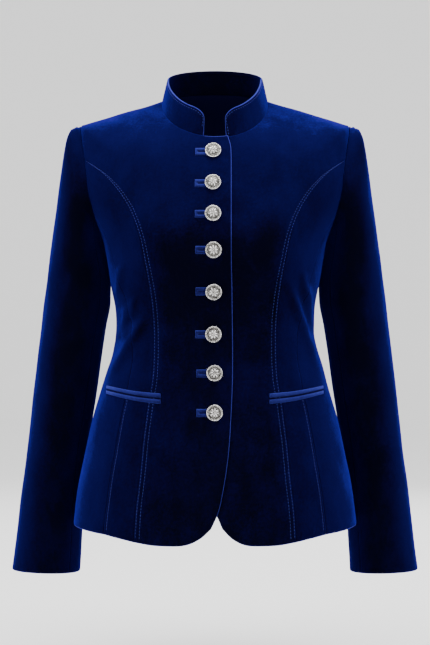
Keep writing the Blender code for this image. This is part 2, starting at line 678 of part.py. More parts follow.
def add_welts(halves, velvet):
    """Pocket strips, one above and one below the slit, made from the panels' points."""
    slit = curve_through(POCKET_SLIT, np.linspace(0, 1, WELT_STEPS + 1))
    for side, word in ((RIGHT, "right"), (LEFT, "left")):
        for part, way in (("upper", 1), ("lower", -1)):
            near, far = WELT_SLIT / 2 * way, (WELT_SLIT / 2 + WELT_HEIGHT) * way
            heights = (far, (near + far) / 2, near) if way > 0 else (near, (near + far) / 2, far)
            low, high, normals = [], [], []
            for across in heights:
                row = [on_front(halves[side], side, x, z + across) for x, z in slit]
                low.append([point + normal * TRIM_GAP for point, normal in row])
                high.append([point + normal * (TRIM_GAP + WELT_THICK) for point, normal in row])
            add_sheet(f"{word}_pocket_{part}_welt", np.array(high), np.array(low), velvet, side)


def add_buttonholes(half, velvet):
    """Bound buttonholes on the right front: two lips with the slit between them."""
    lips = ((0.5, 0.35), (0.38, 1.0), (0.12, 1.0), (0.0, 0.3), (-0.12, 1.0), (-0.38, 1.0),
            (-0.5, 0.35))
    for number, (x, z) in enumerate(BUTTONS, 1):
        low, high = [], []
        for share, height in lips:
            across = np.linspace(-x - HOLE_PAST_BUTTON, -x + BUTTONHOLE_LENGTH, 5)
            row = [on_front(half, RIGHT, to, z + share * BUTTONHOLE_HEIGHT) for to in across]
            low.append([point + normal * TRIM_GAP for point, normal in row])
            high.append([point + normal * (TRIM_GAP + LIP_THICK * height)
                         for point, normal in row])
        add_sheet(f"buttonhole_{number}", np.array(high), np.array(low), velvet, RIGHT)


def add_buttons(half, metal):
    """Domed buttons with a raised rim, each on its buttonhole's lips."""
    for number, (x, z) in enumerate(BUTTONS, 1):
        seat, normal = on_front(half, RIGHT, -x, z)
        seat = seat + normal * (TRIM_GAP + LIP_THICK + BUTTON_GAP)
        # On its sewn eye a button hangs more upright than the cloth behind it.
        normal = normal - (0, BUTTON_UPRIGHT, 0)
        normal /= np.linalg.norm(normal)
        across = np.cross((0, 0, 1), normal)
        across /= np.linalg.norm(across)
        upward = np.cross(normal, across)
        points = [seat + normal * BUTTON_TOP]
        for radius, height in BUTTON_PROFILE:
            for k in range(BUTTON_SEGMENTS):
                angle = 2 * math.pi * k / BUTTON_SEGMENTS
                points.append(seat + normal * height
                              + radius * (across * math.cos(angle) + upward * math.sin(angle)))
        faces = [(0, 1 + k, 1 + (k + 1) % BUTTON_SEGMENTS) for k in range(BUTTON_SEGMENTS)]
        for ring in range(len(BUTTON_PROFILE) - 1):
            first = 1 + ring * BUTTON_SEGMENTS
            for k in range(BUTTON_SEGMENTS):
                after = (k + 1) % BUTTON_SEGMENTS
                faces.append((first + k, first + BUTTON_SEGMENTS + k,
                              first + BUTTON_SEGMENTS + after, first + after))
        last = 1 + (len(BUTTON_PROFILE) - 1) * BUTTON_SEGMENTS
        faces.append(tuple(last + k for k in reversed(range(BUTTON_SEGMENTS))))
        add_object(f"button_{number}", points, faces, metal, RIGHT)


for old in list(bpy.data.objects):
    bpy.data.objects.remove(old, do_unlink=True)
velvet = new_material("velvet", (0.012, 0.035, 0.26), 0.85)
velvet_trim = new_material("velvet_trim", (0.03, 0.09, 0.42), 0.8)
silver = new_material("antique_silver", (0.62, 0.61, 0.58), 0.35, 1.0)
outer_faces = add_body(velvet)
add_collar(velvet)
add_sleeves(velvet)
add_welts(outer_faces, velvet_trim)
add_buttonholes(outer_faces[RIGHT], velvet_trim)
add_buttons(outer_faces[RIGHT], silver)
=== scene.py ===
"""Velvet trachten jacket: cloth, sewing and buttons over its frame, with floor, light, camera.

Sizes are in millimetres and become metres where a mesh is made. Panels are worked out for
the wearer's left side (+X) and mirrored for the right one.
"""
import math
from collections import namedtuple

import bpy
import numpy as np
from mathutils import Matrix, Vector


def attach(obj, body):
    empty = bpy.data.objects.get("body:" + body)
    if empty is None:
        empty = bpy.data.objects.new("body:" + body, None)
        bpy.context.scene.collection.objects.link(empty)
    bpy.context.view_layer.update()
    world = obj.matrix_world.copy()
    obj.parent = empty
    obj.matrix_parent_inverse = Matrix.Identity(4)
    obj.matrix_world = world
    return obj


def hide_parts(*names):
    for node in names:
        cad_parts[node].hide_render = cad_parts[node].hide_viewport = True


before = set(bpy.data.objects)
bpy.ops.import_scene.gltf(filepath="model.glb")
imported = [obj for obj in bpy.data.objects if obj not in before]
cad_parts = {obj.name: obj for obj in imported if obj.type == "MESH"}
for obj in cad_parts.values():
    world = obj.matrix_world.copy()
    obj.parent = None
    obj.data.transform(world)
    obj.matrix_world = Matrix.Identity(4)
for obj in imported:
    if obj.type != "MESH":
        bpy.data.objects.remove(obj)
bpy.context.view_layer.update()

# Body panels: cotton velvet, cut in eight panels that follow the body and are joined by
# seams over the shoulders, through the bust, down both sides of the back and at its centre.
MM = 0.001
WALL = 2.0
RIGHT = -1
LEFT = 1
SIDES = ((RIGHT, "right"), (LEFT, "left"))
FRONT = -1
BACK = 1

# Body form: one row for each ring round the body, from the neck seam to below the hem.
# The side point lies on the shoulder seam in the first rows and under the arm lower down.
# A roundness of 2 is an ellipse, more is squarer. The drop exponent says how the ring
# falls from the side point to the front and back points: 1 is a flat ring.
Ring = namedtuple("Ring", "side_x side_y side_z front_y front_z back_y back_z "
                  "front_round back_round drop", defaults=(2.2, 2.2, 1.8))
RINGS = [Ring(*row) for row in (
    (74.0, 25, 0, -65, -55, 65, 17, 2.0, 2.0, 1.0),
    (109.0, 20, -9, -76, -73, 80, 2, 2.0, 2.0, 1.2),
    (148.0, 15, -21.5, -87, -92, 92, -18, 2.0, 2.1, 1.5),
    (177.0, 11, -31, -94.5, -108, 98, -37, 2.0, 2.2, 1.7),
    (185.5, 10, -34, -97, -112, 100, -42, 2.0, 2.2, 1.8),
    (187.5, 9, -66, -104, -128, 104, -72, 2.1, 2.3, 1.8),
    (189.0, 9, -95, -110, -143, 106, -99, 2.2, 2.4, 1.8),
    (185.0, 10, -130, -117, -162, 107, -131, 2.2, 2.4, 1.8),
    (172.0, 11, -160, -121, -178, 106, -160, 2.2, 2.3, 1.8),
    (158.0, 12, -184, -123, -192, 104, -184),
    (149.5, 11, -220, -123, -221, 99, -220),
    (143.5, 9, -255, -116, -255, 91, -255),
    (137.5, 7, -286, -108, -286, 84, -286),
    (136.3, 5, -312, -104, -312, 81, -312),
    (141.5, 3, -350, -104, -350, 84, -350),
    (153.0, 2, -385, -108, -385, 95, -385),
    (165.5, 1, -427, -113, -427, 111, -427),
    (179.5, 0, -488, -120, -488, 124, -488),
    (188.5, 0, -532, -124, -532, 128, -532),
    (194.0, 0, -575, -127, -575, 130, -575),
    (197.0, 0, -612, -128, -612, 131, -612),
)]
SHOULDER_RING = 4
FINE_STEP = 4.0
NORMAL_STEP = 0.25
SEARCH_STEP = 0.05
SOFTENING = 24.0
SOFT_DOWN_TO = 330.0
SOFT_FADE = 90.0
SOFT_FACING = 1.6

# Soft fullness over the bust and the shoulder blade: x, z, spread in x and z, height, face.
FULLNESS = ((80, -196, 42, 48, 15, FRONT), (82, -112, 48, 60, 5, BACK))

# Armhole seen from the side, from the shoulder down the front and from the shoulder down
# the back to the underarm: y and z.
ARMHOLE_FRONT = ((10, -34), (-3, -43), (-20, -64), (-34, -88), (-44, -114),
                 (-45, -140), (-35, -163), (-14, -180), (12, -184))
ARMHOLE_BACK = ((10, -34), (26, -43), (43, -66), (54, -94), (57, -122),
                (51, -150), (35, -174), (12, -184))
PRINCESS_AT = 0.165
SIDE_FRONT_AT = 0.375
SIDE_BACK_AT = 0.690

# Seams and edges seen from the front: x outward from the centre line, and z.
PRINCESS = ((152, -104), (129, -130), (112.5, -157), (100.6, -188), (93, -225),
            (87, -258), (83.3, -290), (81.8, -323), (83.2, -378), (88.7, -413),
            (94.6, -460), (99.7, -513), (104.6, -557), (106.7, -595.4))
FRONT_EDGE = ((-17.6, -56), (-21.2, -66), (-22, -76), (-21.9, -140), (-21.7, -211),
              (-22.7, -263), (-23.6, -320), (-23.8, -362), (-21.6, -426), (-18, -478),
              (-11.8, -521), (-3.9, -556), (5.2, -576))
FRONT_HEM = ((5.2, -576), (18.8, -588.4), (36.6, -597.0), (53.8, -599.2),
             (80.3, -598.8), (106.7, -595.4))

# Seams given by the angle round the body, from the centre front: degrees and z.
SIDE_FRONT_SEAM = ((68, -205), (63, -250), (59, -300), (56.5, -350), (56, -390),
                   (57, -440), (58, -500), (59, -587.5))
SIDE_BACK_SEAM = ((118, -170), (122, -230), (125, -310), (124, -390), (123, -480),
                  (122, -580))
SIDE_HEM = ((59, -587.5), (75, -584), (90, -581.5), (106, -580), (122, -580))
BACK_HEM = ((180, -584), (160, -583.5), (140, -582), (122, -580))

# The left front lies behind the right one: how far in, and where it comes back out.
LAP_DEPTH = WALL + 1.2
LAP_FROM = 40.0
LAP_TO = 86.0

# The left front's edge stands a little further out than the right one near the hem: by how
# much, the heights between which it starts, and how far from the centre it ends.
EDGE_OUT = 5.0
EDGE_OUT_FROM = -510.0
EDGE_OUT_FULL = -562.0
EDGE_OUT_TO = 45.0

# Steps of the grid along each seam.
SHOULDER_STEPS = 20
ARMHOLE_TOP_STEPS = 10
ARMHOLE_BACK_STEPS = 26
SIDE_FRONT_STEPS = 24
SIDE_STEPS = 22
DOWN_STEPS = 110
ACROSS_STEPS = 24
WAIST_CROWDING = 0.035


def smooth_table(keys, values, at):
    """Cubic curve through the rows of a table, read at the given keys."""
    keys = np.asarray(keys, float)
    values = np.asarray(values, float)
    steps = np.diff(values) / np.diff(keys)
    slopes = np.gradient(values, keys)
    inner = slopes[1:-1]
    limit = 3 * np.minimum(np.abs(steps[1:]), np.abs(steps[:-1]))
    inner[:] = np.where(steps[1:] * steps[:-1] > 0, np.clip(inner, -limit, limit), 0.25 * inner)
    at = np.clip(at, keys[0], keys[-1])
    row = np.clip(np.searchsorted(keys, at, side="right") - 1, 0, len(keys) - 2)
    span = keys[row + 1] - keys[row]
    s = (at - keys[row]) / span
    return ((1 + 2 * s) * (1 - s) ** 2 * values[row] + s * (1 - s) ** 2 * span * slopes[row]
            + s * s * (3 - 2 * s) * values[row + 1] + s * s * (s - 1) * span * slopes[row + 1])


def path_length(points):
    """Length of a path up to each of its points."""
    return np.concatenate(([0], np.cumsum(np.linalg.norm(np.diff(points, axis=0), axis=1))))


def curve_through(points, fractions):
    """Points at fractions of the length of a smooth curve through the given points."""
    points = np.asarray(points, float)
    length = path_length(points)
    at = np.asarray(fractions, float) * length[-1]
    return np.stack([smooth_table(length, points[:, k], at) for k in range(points.shape[1])], -1)


RING_COLUMNS = dict(zip(Ring._fields, zip(*RINGS)))
RING_SIDES = np.array(RINGS)[:, :3]
LEVELS = path_length(RING_SIDES)
FINE_LEVELS = np.arange(0, LEVELS[-1], FINE_STEP)


def soft_columns():
    """Ring sizes down the body, softened so that the chest rounds over under the shoulder."""
    reach = int(3 * SOFTENING / FINE_STEP)
    weight = np.exp(-0.5 * (np.arange(-reach, reach + 1) * FINE_STEP / SOFTENING) ** 2)
    weight /= weight.sum()
    soft = {}
    for name, column in RING_COLUMNS.items():
        fine = smooth_table(LEVELS, column, FINE_LEVELS)
        before = 2 * fine[0] - fine[reach:0:-1]
        after = 2 * fine[-1] - fine[-2:-reach - 2:-1]
        soft[name] = np.convolve(np.concatenate((before, fine, after)), weight, "valid")
    return soft


SOFT_COLUMNS = soft_columns()


def ring_point(ring, turn):
    """Point of a ring, turned by degrees from the centre front towards the side."""
    angle = np.radians(turn)
    sine = np.sin(angle)
    cosine = np.cos(angle)
    front = cosine >= 0
    depth = np.where(front, ring["side_y"] - ring["front_y"], ring["back_y"] - ring["side_y"])
    power = np.where(front, ring["front_round"], ring["back_round"])
    fall = np.where(front, ring["front_z"], ring["back_z"]) - ring["side_z"]
    reach = (np.abs(sine / ring["side_x"]) ** power
             + np.abs(cosine / depth) ** power) ** (-1 / power)
    share = np.clip(np.abs(reach * cosine) / depth, 0, 1)
    return np.stack((reach * sine, ring["side_y"] - reach * cosine,
                     ring["side_z"] + fall * share ** ring["drop"]), -1)


def body_point(turn, level):
    """Point of the body's outer form on the wearer's left side."""
    turn = np.asarray(turn, float)
    level = np.asarray(level, float)
    facing = np.abs(np.cos(np.radians(turn)))
    high = np.clip((SOFT_DOWN_TO - level) / SOFT_FADE, 0, 1)
    mix = np.clip(facing * SOFT_FACING, 0, 1) * high * high * (3 - 2 * high)
    ring = {}
    for name, column in RING_COLUMNS.items():
        sharp = smooth_table(LEVELS, column, level)
        ring[name] = sharp + (smooth_table(FINE_LEVELS, SOFT_COLUMNS[name], level) - sharp) * mix
    point = ring_point(ring, turn)
    for x, z, spread_x, spread_z, height, faces in FULLNESS:
        near = (np.exp(-((point[..., 0] - x) / spread_x) ** 2)
                + np.exp(-((point[..., 0] + x) / spread_x) ** 2))
        near = near * np.exp(-((point[..., 2] - z) / spread_z) ** 2)
        toward = np.clip(-faces * np.cos(np.radians(turn)), 0, 1)
        point[..., 1] += faces * height * near * toward
    return point


def form_normal(point_at, around, down, around_step, down_step, last):
    """Outward direction of a form, from its points a step to every side."""
    sideways = point_at(around + around_step, down) - point_at(around - around_step, down)
    downward = (point_at(around, np.minimum(down + down_step, last))
                - point_at(around, np.maximum(down - down_step, 0)))
    normal = np.cross(downward, sideways)
    return normal / np.linalg.norm(normal, axis=-1, keepdims=True)


def body_normal(turn, level):
    return form_normal(body_point, turn, level, NORMAL_STEP, NORMAL_STEP, LEVELS[-1])


def find_places(targets, axes, turn, level):
    """Turns and levels whose body points have the wanted two coordinates."""
    for _ in range(60):
        here = body_point(turn, level)[..., axes]
        if np.abs(here - targets).max() < 1e-5:
            break
        by_turn = (body_point(turn + SEARCH_STEP, level)[..., axes] - here) / SEARCH_STEP
        by_level = (body_point(turn, level + SEARCH_STEP)[..., axes] - here) / SEARCH_STEP
        move = np.linalg.solve(np.stack((by_turn, by_level), -1), (targets - here)[..., None])
        turn = turn + np.clip(move[..., 0, 0], -6, 6)
        level = np.clip(level + np.clip(move[..., 1, 0], -25, 25), 0, LEVELS[-1] - 0.1)
    return np.stack((turn, level), -1)


def level_at(z):
    """Level of the flat rings, below the underarm, at a height."""
    return np.interp(-z, -RING_SIDES[:, 2], LEVELS)


def places_seen(x, z):
    """Places of points seen from the front."""
    x, z = (np.asarray(value, float) for value in (x, z))
    level = level_at(z)
    width = np.interp(level, LEVELS, RING_SIDES[:, 0])
    turn = np.degrees(np.arcsin(np.clip(x / width, -0.95, 0.95)))
    return find_places(np.stack((x, z), -1), [0, 2], turn, level)


def places_from_front(points, fractions):
    return places_seen(*curve_through(points, fractions).T)


def armhole_places():
    """Armhole from the shoulder round the front and the back: share of the way, place."""
    fractions = np.linspace(0, 1, 41)
    front = curve_through(ARMHOLE_FRONT, fractions)
    back = curve_through(ARMHOLE_BACK, fractions)[::-1]
    places = []
    here = np.array(((90.0, LEVELS[SHOULDER_RING]),))
    for target in np.concatenate((front, back[1:])):
        here = find_places(target[None], [1, 2], here[:, 0], here[:, 1])
        places.append(here[0])
    return np.linspace(0, 1, len(places)), np.array(places)


ARMHOLE_SHARES, ARMHOLE_PLACES = armhole_places()


def armhole_at(share):
    share = np.mod(share, 1)
    return np.stack([smooth_table(ARMHOLE_SHARES, ARMHOLE_PLACES[:, k], share) for k in (0, 1)], -1)


def places_by_angle(rows, fractions, *start):
    """Places along a seam that is given by angle and height, after its first place."""
    return curve_through([*start, *((turn, level_at(z)) for turn, z in rows)], fractions)


def seam_fractions(steps):
    """Shares of a long seam's way down, closer together at the waist."""
    even = np.linspace(0, 1, steps + 1)
    return even - WAIST_CROWDING * np.sin(2 * np.pi * even) * np.sin(np.pi * even)


def edge_at_levels(places, levels):
    """Places of an edge at the given levels, spread over its own length."""
    share = (levels - levels[0]) / (levels[-1] - levels[0])
    start, end = places[0, 1], places[-1, 1]
    at = start + share * (end - start)
    return np.stack((np.interp(at, places[:, 1], places[:, 0]), at), -1)


def fill_patch(left, right, top, bottom):
    """Grid of places inside four sides: rows go down, columns from left to right."""
    v = np.linspace(0, 1, len(left))[:, None, None]
    u = np.linspace(0, 1, len(top))[None, :, None]
    sides = (1 - u) * left[:, None] + u * right[:, None]
    ends = (1 - v) * top[None] + v * bottom[None]
    corners = ((1 - u) * (1 - v) * top[0] + u * (1 - v) * top[-1]
               + (1 - u) * v * bottom[0] + u * v * bottom[-1])
    return sides + ends - corners


def panel_places():
    """Grid of places of each panel of one half of the body, between its seams and edges."""
    down = seam_fractions(DOWN_STEPS)
    even = np.linspace(0, 1, ACROSS_STEPS + 1)
    princess_top = armhole_at(PRINCESS_AT)
    princess = places_from_front([body_point(*princess_top)[[0, 2]], *PRINCESS], down)
    princess[0] = princess_top
    side_front = places_by_angle(SIDE_FRONT_SEAM, down, armhole_at(SIDE_FRONT_AT))
    side_back = places_by_angle(SIDE_BACK_SEAM, down, armhole_at(SIDE_BACK_AT))
    shoulder = np.stack((np.full(SHOULDER_STEPS + 1, 90.0),
                         np.linspace(0, LEVELS[SHOULDER_RING], SHOULDER_STEPS + 1)), -1)
    front_top = armhole_at(np.linspace(0, PRINCESS_AT, ARMHOLE_TOP_STEPS + 1))
    back_top = armhole_at(np.linspace(1, SIDE_BACK_AT, ARMHOLE_BACK_STEPS + 1))
    front_side = np.concatenate((shoulder, front_top[1:], princess[1:]))
    back_side = np.concatenate((shoulder, back_top[1:], side_back[1:]))
    edge = places_from_front(FRONT_EDGE, np.linspace(0, 1, 81))
    edge[0, 1] = 0
    edge = edge_at_levels(edge, front_side[:, 1])
    centre_back = np.array(((180.0, 0.0), (180.0, level_at(BACK_HEM[0][1]))))
    centre_back = edge_at_levels(centre_back, back_side[:, 1])
    neck_front = np.stack((edge[0, 0] * (1 - even) + 90 * even, 0 * even), -1)
    neck_back = np.stack((90 + 90 * even, 0 * even), -1)
    front_hem = places_from_front(FRONT_HEM, even)
    front_hem[0], front_hem[-1] = edge[-1], princess[-1]
    back_hem = places_by_angle(BACK_HEM[::-1], even)
    back_hem[0] = side_back[-1]
    return {
        "front": fill_patch(edge, front_side, neck_front, front_hem),
        "side_front": fill_patch(
            princess, side_front,
            armhole_at(np.linspace(PRINCESS_AT, SIDE_FRONT_AT, SIDE_FRONT_STEPS + 1)),
            curve_through((princess[-1], side_front[-1]),
                          np.linspace(0, 1, SIDE_FRONT_STEPS + 1))),
        "side": fill_patch(
            side_front, side_back,
            armhole_at(np.linspace(SIDE_FRONT_AT, SIDE_BACK_AT, SIDE_STEPS + 1)),
            places_by_angle(SIDE_HEM, np.linspace(0, 1, SIDE_STEPS + 1))),
        "back": fill_patch(back_side, centre_back, neck_back, back_hem),
    }


# Rows of the cloth's grid that lie close to an edge, by their distance from it. A plain edge
# is only rounded; the others also have rows for the stitching beside them.
PLAIN_EDGE = (0, 0.4, 1.2, 3)
STITCHED_EDGE = (0, 0.4, 1.2, 2.2, 3.2, 4.0, 4.8, 6.5)
DOUBLE_STITCHED = (0, 0.4, 0.9, 1.5, 2.1, 3.0, 4.6, 6.2, 7.0, 7.8, 9.2)

# How far a face rounds over at a seam and at a free edge: the width and the depth of it.
SEAM_ROUND = (1.1, 0.5)
FREE_ROUND = (2.6, 1.25)
# Width of the band of painted highlight along a free edge, on the fronts and on the other pieces.
EDGE_HIGHLIGHT_WIDTH = 1.3
THIN_EDGE_HIGHLIGHT_WIDTH = 1.0


def spread(grid, point_at, near, steps, far):
    """Grid laid out again along its rows: close to both edges, and even between them."""
    rows = []
    for row in grid:
        length = path_length(point_at(row[:, 0], row[:, 1]))
        middle = np.linspace(near[-1], length[-1] - far[-1], steps + 1)[1:-1]
        at = np.concatenate((near, middle, length[-1] - np.array(far[::-1], float)))
        rows.append(np.stack([np.interp(at, length, column) for column in row.T], -1))
    return np.array(rows)


def edge_distances(grid, point_at):
    """Distance of each grid point from the left, right, top and bottom edge of its sheet."""
    points = point_at(grid[..., 0], grid[..., 1])
    distances = []
    for axis in (1, 0):
        steps = np.linalg.norm(np.diff(points, axis=axis), axis=2)
        start = np.insert(np.cumsum(steps, axis=axis), 0, 0, axis=axis)
        distances += [start, start.take([-1], axis=axis) - start]
    return distances


def cloth_grid(places, point_at, left, across, right, top, down, bottom):
    """Places of a sheet's grid, with close rows and columns along its four edges."""
    grid = spread(places, point_at, left, across, right)
    return spread(grid.transpose(1, 0, 2), point_at, top, down, bottom).transpose(1, 0, 2)


# Creases of the waist on each side, one row each: the two ends of the ridge seen from the
# front, half width, height and face. Hollows have a height under 0.
CREASES = {RIGHT: (
    (127, -233, 131, -266, 5.5, 2.4, FRONT),
    (109, -275, 112, -300, 5, 1.9, FRONT),
    (119, -286, 123, -324, 5.5, 2.6, FRONT),
    (98, -306, 140, -373, 7, 3.6, FRONT),
    (113, -300, 133, -333, 4.5, -1.3, FRONT),
    (-5, -88, -17, -97, 3.0, 1.3, FRONT),
    (-3, -98, -16, -104, 2.4, 1.0, FRONT),
    (-5, -134, -17, -138, 2.6, 0.8, FRONT),
    (52, -322, 74, -330, 4, 0.6, FRONT),
    (121, -250, 116, -292, 6, 2.2, BACK),
    (126, -296, 92, -352, 7, 2.8, BACK),
    (70, -292, 34, -318, 6, 1.5, BACK),
), LEFT: (
    (102, -265, 143, -371, 7, 3.6, FRONT),
    (118, -241, 122, -269, 5, 2.1, FRONT),
    (126, -262, 129, -312, 5.5, 2.8, FRONT),
    (113, -268, 131, -326, 4.5, -1.2, FRONT),
    (56, -306, 76, -318, 4, 0.6, FRONT),
    (119, -240, 117, -276, 5.5, 2.0, BACK),
    (128, -282, 97, -334, 7, 3.0, BACK),
    (76, -308, 30, -330, 6, 1.6, BACK),
)}
CREASES_FROM_Y = 18
CREASES_FADE = 12


def ridge(across, down, ends, width, height, sharp, ease):
    """Height of one ridge of the cloth, from its two ends. A sharper one fades sooner at its
    ends, and its ease is what is left of it there."""
    x, z, way_x, way_z = ends[0], ends[1], ends[2] - ends[0], ends[3] - ends[1]
    along = ((across - x) * way_x + (down - z) * way_z) / (way_x ** 2 + way_z ** 2)
    aside = ((across - x) * way_z - (down - z) * way_x) / math.hypot(way_x, way_z)
    fade = np.clip(np.minimum(along, 1 - along) * sharp + ease, 0, 1)
    return height * fade * fade * (3 - 2 * fade) * np.exp(-(aside / width) ** 2)


def crease_height(point, side):
    """Height of the creases at a point, worked out on the wearer's left side."""
    total = 0
    for *ends, width, height, faces in CREASES[side]:
        toward = np.clip((point[..., 1] - CREASES_FROM_Y) * faces / CREASES_FADE + 1, 0, 1)
        total = total + toward * ridge(point[..., 0], point[..., 2], ends, width, height, 3, 0.6)
    return total


def unevenness(point):
    """The slight waviness of cloth that hangs free, a few tenths of a millimetre."""
    x, y, z = np.moveaxis(point, -1, 0)
    return (0.28 * np.sin(x / 13 + 1.7 * np.sin(z / 41)) * np.sin(z / 27 + y / 19)
            + 0.16 * np.sin(z / 11 + x / 23) * np.sin(y / 9 + x / 31))


def lap_depth(x):
    """How far the left front and the left collar end lie behind the right ones."""
    s = np.clip((x - LAP_FROM) / (LAP_TO - LAP_FROM), 0, 1)
    return LAP_DEPTH * (1 - s * s * (3 - 2 * s))


def body_surface(places, side, front=False):
    """Outer points and normals of a grid of places, with creases and the lap."""
    turn, level = places[..., 0], places[..., 1]
    point = body_point(turn, level)
    normal = body_normal(turn, level)
    lift = crease_height(point, side) + unevenness(point * (side, 1, 1))
    if front and side == LEFT:
        lift = lift - lap_depth(point[..., 0])
        low = np.clip((EDGE_OUT_FROM - point[..., 2]) / (EDGE_OUT_FROM - EDGE_OUT_FULL), 0, 1)
        point[..., 0] += EDGE_OUT * low * np.clip(1 - point[..., 0] / EDGE_OUT_TO, 0, 1)
    return point + normal * lift[..., None], normal


def linear(colour):
    """Linear red, green, blue and alpha of an sRGB hex colour."""
    parts = [int(colour[k:k + 2], 16) / 255 for k in (1, 3, 5)]
    return (*[part / 12.92 if part <= 0.04045 else ((part + 0.055) / 1.055) ** 2.4
              for part in parts], 1)


def node(tree, kind, values=None, links=None, colours=(), **settings):
    """One shader node with its settings, its sockets' values, the nodes or sockets linked to
    them, and the colours of a ramp."""
    made = tree.nodes.new(kind)
    for key, value in settings.items():
        setattr(made, key, value)
    for key, value in (values or {}).items():
        made.inputs[key].default_value = value
    for key, source in (links or {}).items():
        output = source if isinstance(source, bpy.types.NodeSocket) else source.outputs[0]
        tree.links.new(output, made.inputs[key])
    while colours and len(made.color_ramp.elements) < len(colours):
        made.color_ramp.elements.new(0.5)
    for k, (place, colour) in enumerate(colours):
        made.color_ramp.elements[k].position = place
        made.color_ramp.elements[k].color = linear(colour)
    return made


def new_material(name):
    """An empty material and its node tree."""
    material = bpy.data.materials.new(name)
    material.use_nodes = True
    material.node_tree.nodes.clear()
    return material, material.node_tree


def velvet_material(name, colours, sheen):
    """Pile cloth: dark where it is seen straight on, bright where the pile is seen aslant, as sheen
    painted into the base colour. Cloth that faces up is painted brighter and cloth that faces down
    darker, as painted light from above."""
    material, tree = new_material(name)
    place = node(tree, "ShaderNodeTexCoord").outputs["Object"]
    streaks = node(tree, "ShaderNodeMapping", {"Scale": (1, 1, 0.55)}, {"Vector": place})
    nap = node(tree, "ShaderNodeTexNoise", {"Scale": 34, "Detail": 5, "Roughness": 0.62},
               {"Vector": streaks})
    mottle = node(tree, "ShaderNodeTexNoise", {"Scale": 330, "Detail": 4, "Roughness": 0.7},
                  {"Vector": place})
    pile = node(tree, "ShaderNodeTexNoise", {"Scale": 1500, "Detail": 2, "Roughness": 0.7},
                {"Vector": place})
    # Painted light from above: cloth that faces up is drawn brighter, cloth that faces down darker.
    upward = node(tree, "ShaderNodeSeparateXYZ", None,
                  {"Vector": node(tree, "ShaderNodeNewGeometry").outputs["Normal"]})
    painted_top_light = node(tree, "ShaderNodeMapRange",
                   {"From Min": -0.30, "From Max": 0.30, "To Min": -0.11, "To Max": 0.10},
                   {"Value": upward.outputs["Z"]})
    # Painted sheen: the base colour is brighter where the cloth is seen aslant.
    slant = node(tree, "ShaderNodeLayerWeight", {"Blend": 0.5}).outputs["Facing"]
    seen = node(tree, "ShaderNodeMath", None, {0: slant, 1: painted_top_light}, operation="ADD")
    nap_and_painted_light = node(tree, "ShaderNodeMath", {1: 0.44}, {0: nap, 2: seen},
                   operation="MULTIPLY_ADD")
    speckled = node(tree, "ShaderNodeMath", {1: 0.46}, {0: mottle, 2: nap_and_painted_light},
                    operation="MULTIPLY_ADD")
    centred = node(tree, "ShaderNodeMath", {1: 0.42}, {0: speckled}, operation="SUBTRACT")
    ramp = node(tree, "ShaderNodeValToRGB", None, {"Fac": centred}, colours)
    bump = node(tree, "ShaderNodeBump", {"Strength": 0.35, "Distance": 0.0004},
                {"Height": pile})
    shader = node(tree, "ShaderNodeBsdfPrincipled",
                  {"Roughness": 0.95, "Specular IOR Level": 0.0, "Sheen Weight": sheen,
                   "Sheen Roughness": 0.42, "Sheen Tint": linear("#2c20c0")},
                  {"Base Color": ramp, "Normal": bump})
    node(tree, "ShaderNodeOutputMaterial", None, {"Surface": shader})
    return material


def plain_material(name, colour, roughness, specular=0.3):
    """A plain material with a fine grain."""
    material, tree = new_material(name)
    grain = node(tree, "ShaderNodeTexNoise", {"Scale": 900, "Detail": 2},
                 {"Vector": node(tree, "ShaderNodeTexCoord").outputs["Object"]})
    bump = node(tree, "ShaderNodeBump", {"Strength": 0.1, "Distance": 0.0002},
                {"Height": grain})
    shader = node(tree, "ShaderNodeBsdfPrincipled",
                  {"Base Color": linear(colour), "Roughness": roughness,
                   "Specular IOR Level": specular}, {"Normal": bump})
    node(tree, "ShaderNodeOutputMaterial", None, {"Surface": shader})
    return material


velvet = velvet_material("velvet", ((0.0, "#03030d"), (0.12, "#04031a"), (0.30, "#060427"),
                                    (0.62, "#0a0734"), (1.0, "#1c186c")), 0.10)
# Painted highlight: a lighter copy of the velvet for faces along free edges, where the folded pile
# catches the light.
velvet_edge_highlight = velvet_material("velvet_edge_highlight", ((0.0, "#100e3a"), (0.45, "#202263"),
                                              (1.0, "#3c4292")), 0.2)
velvet_inside = plain_material("velvet_inside", "#080730", 0.9, specular=0.05)


def sheet_faces(rows, columns):
    """Faces of a closed sheet, outer, inner and rim, and the loop of points at its rim."""
    outer = [(i * columns + j, (i + 1) * columns + j, (i + 1) * columns + j + 1,
              i * columns + j + 1) for i in range(rows - 1) for j in range(columns - 1)]
    count = rows * columns
    inner = [tuple(point + count for point in quad[::-1]) for quad in outer]
    loop = (list(range(columns - 1)) + [i * columns + columns - 1 for i in range(rows - 1)]
            + [(rows - 1) * columns + j for j in range(columns - 1, 0, -1)]
            + [i * columns for i in range(rows - 1, 0, -1)])
    rim = [(a, b, b + count, a + count) for a, b in zip(loop, loop[1:] + loop[:1])]
    return outer + inner + rim, loop


def new_piece(name, points, faces, materials, side=LEFT, indices=None):
    """One smooth mesh from points in millimetres, mirrored for the right side."""
    points = np.asarray(points, float) * (side * MM, MM, MM)
    if side == RIGHT:
        faces = [face[::-1] for face in faces]
    mesh = bpy.data.meshes.new(name)
    mesh.from_pydata(points.tolist(), [], faces)
    for material in materials:
        mesh.materials.append(material)
    if indices is not None:
        mesh.polygons.foreach_set("material_index", indices)
    mesh.shade_smooth()
    made = bpy.data.objects.new(name, mesh)
    bpy.context.scene.collection.objects.link(made)
    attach(made, "root")
    return made


def edge_sink(distances, rounds):
    """How far a sheet's face sinks towards its left, right, top and bottom edge."""
    sink = 0
    for distance, (width, depth) in zip(distances, rounds):
        s = np.clip(1 - distance / np.asarray(width), 0, 1)
        sink = np.maximum(sink, depth * (1 - np.sqrt(1 - s * s)))
    return sink


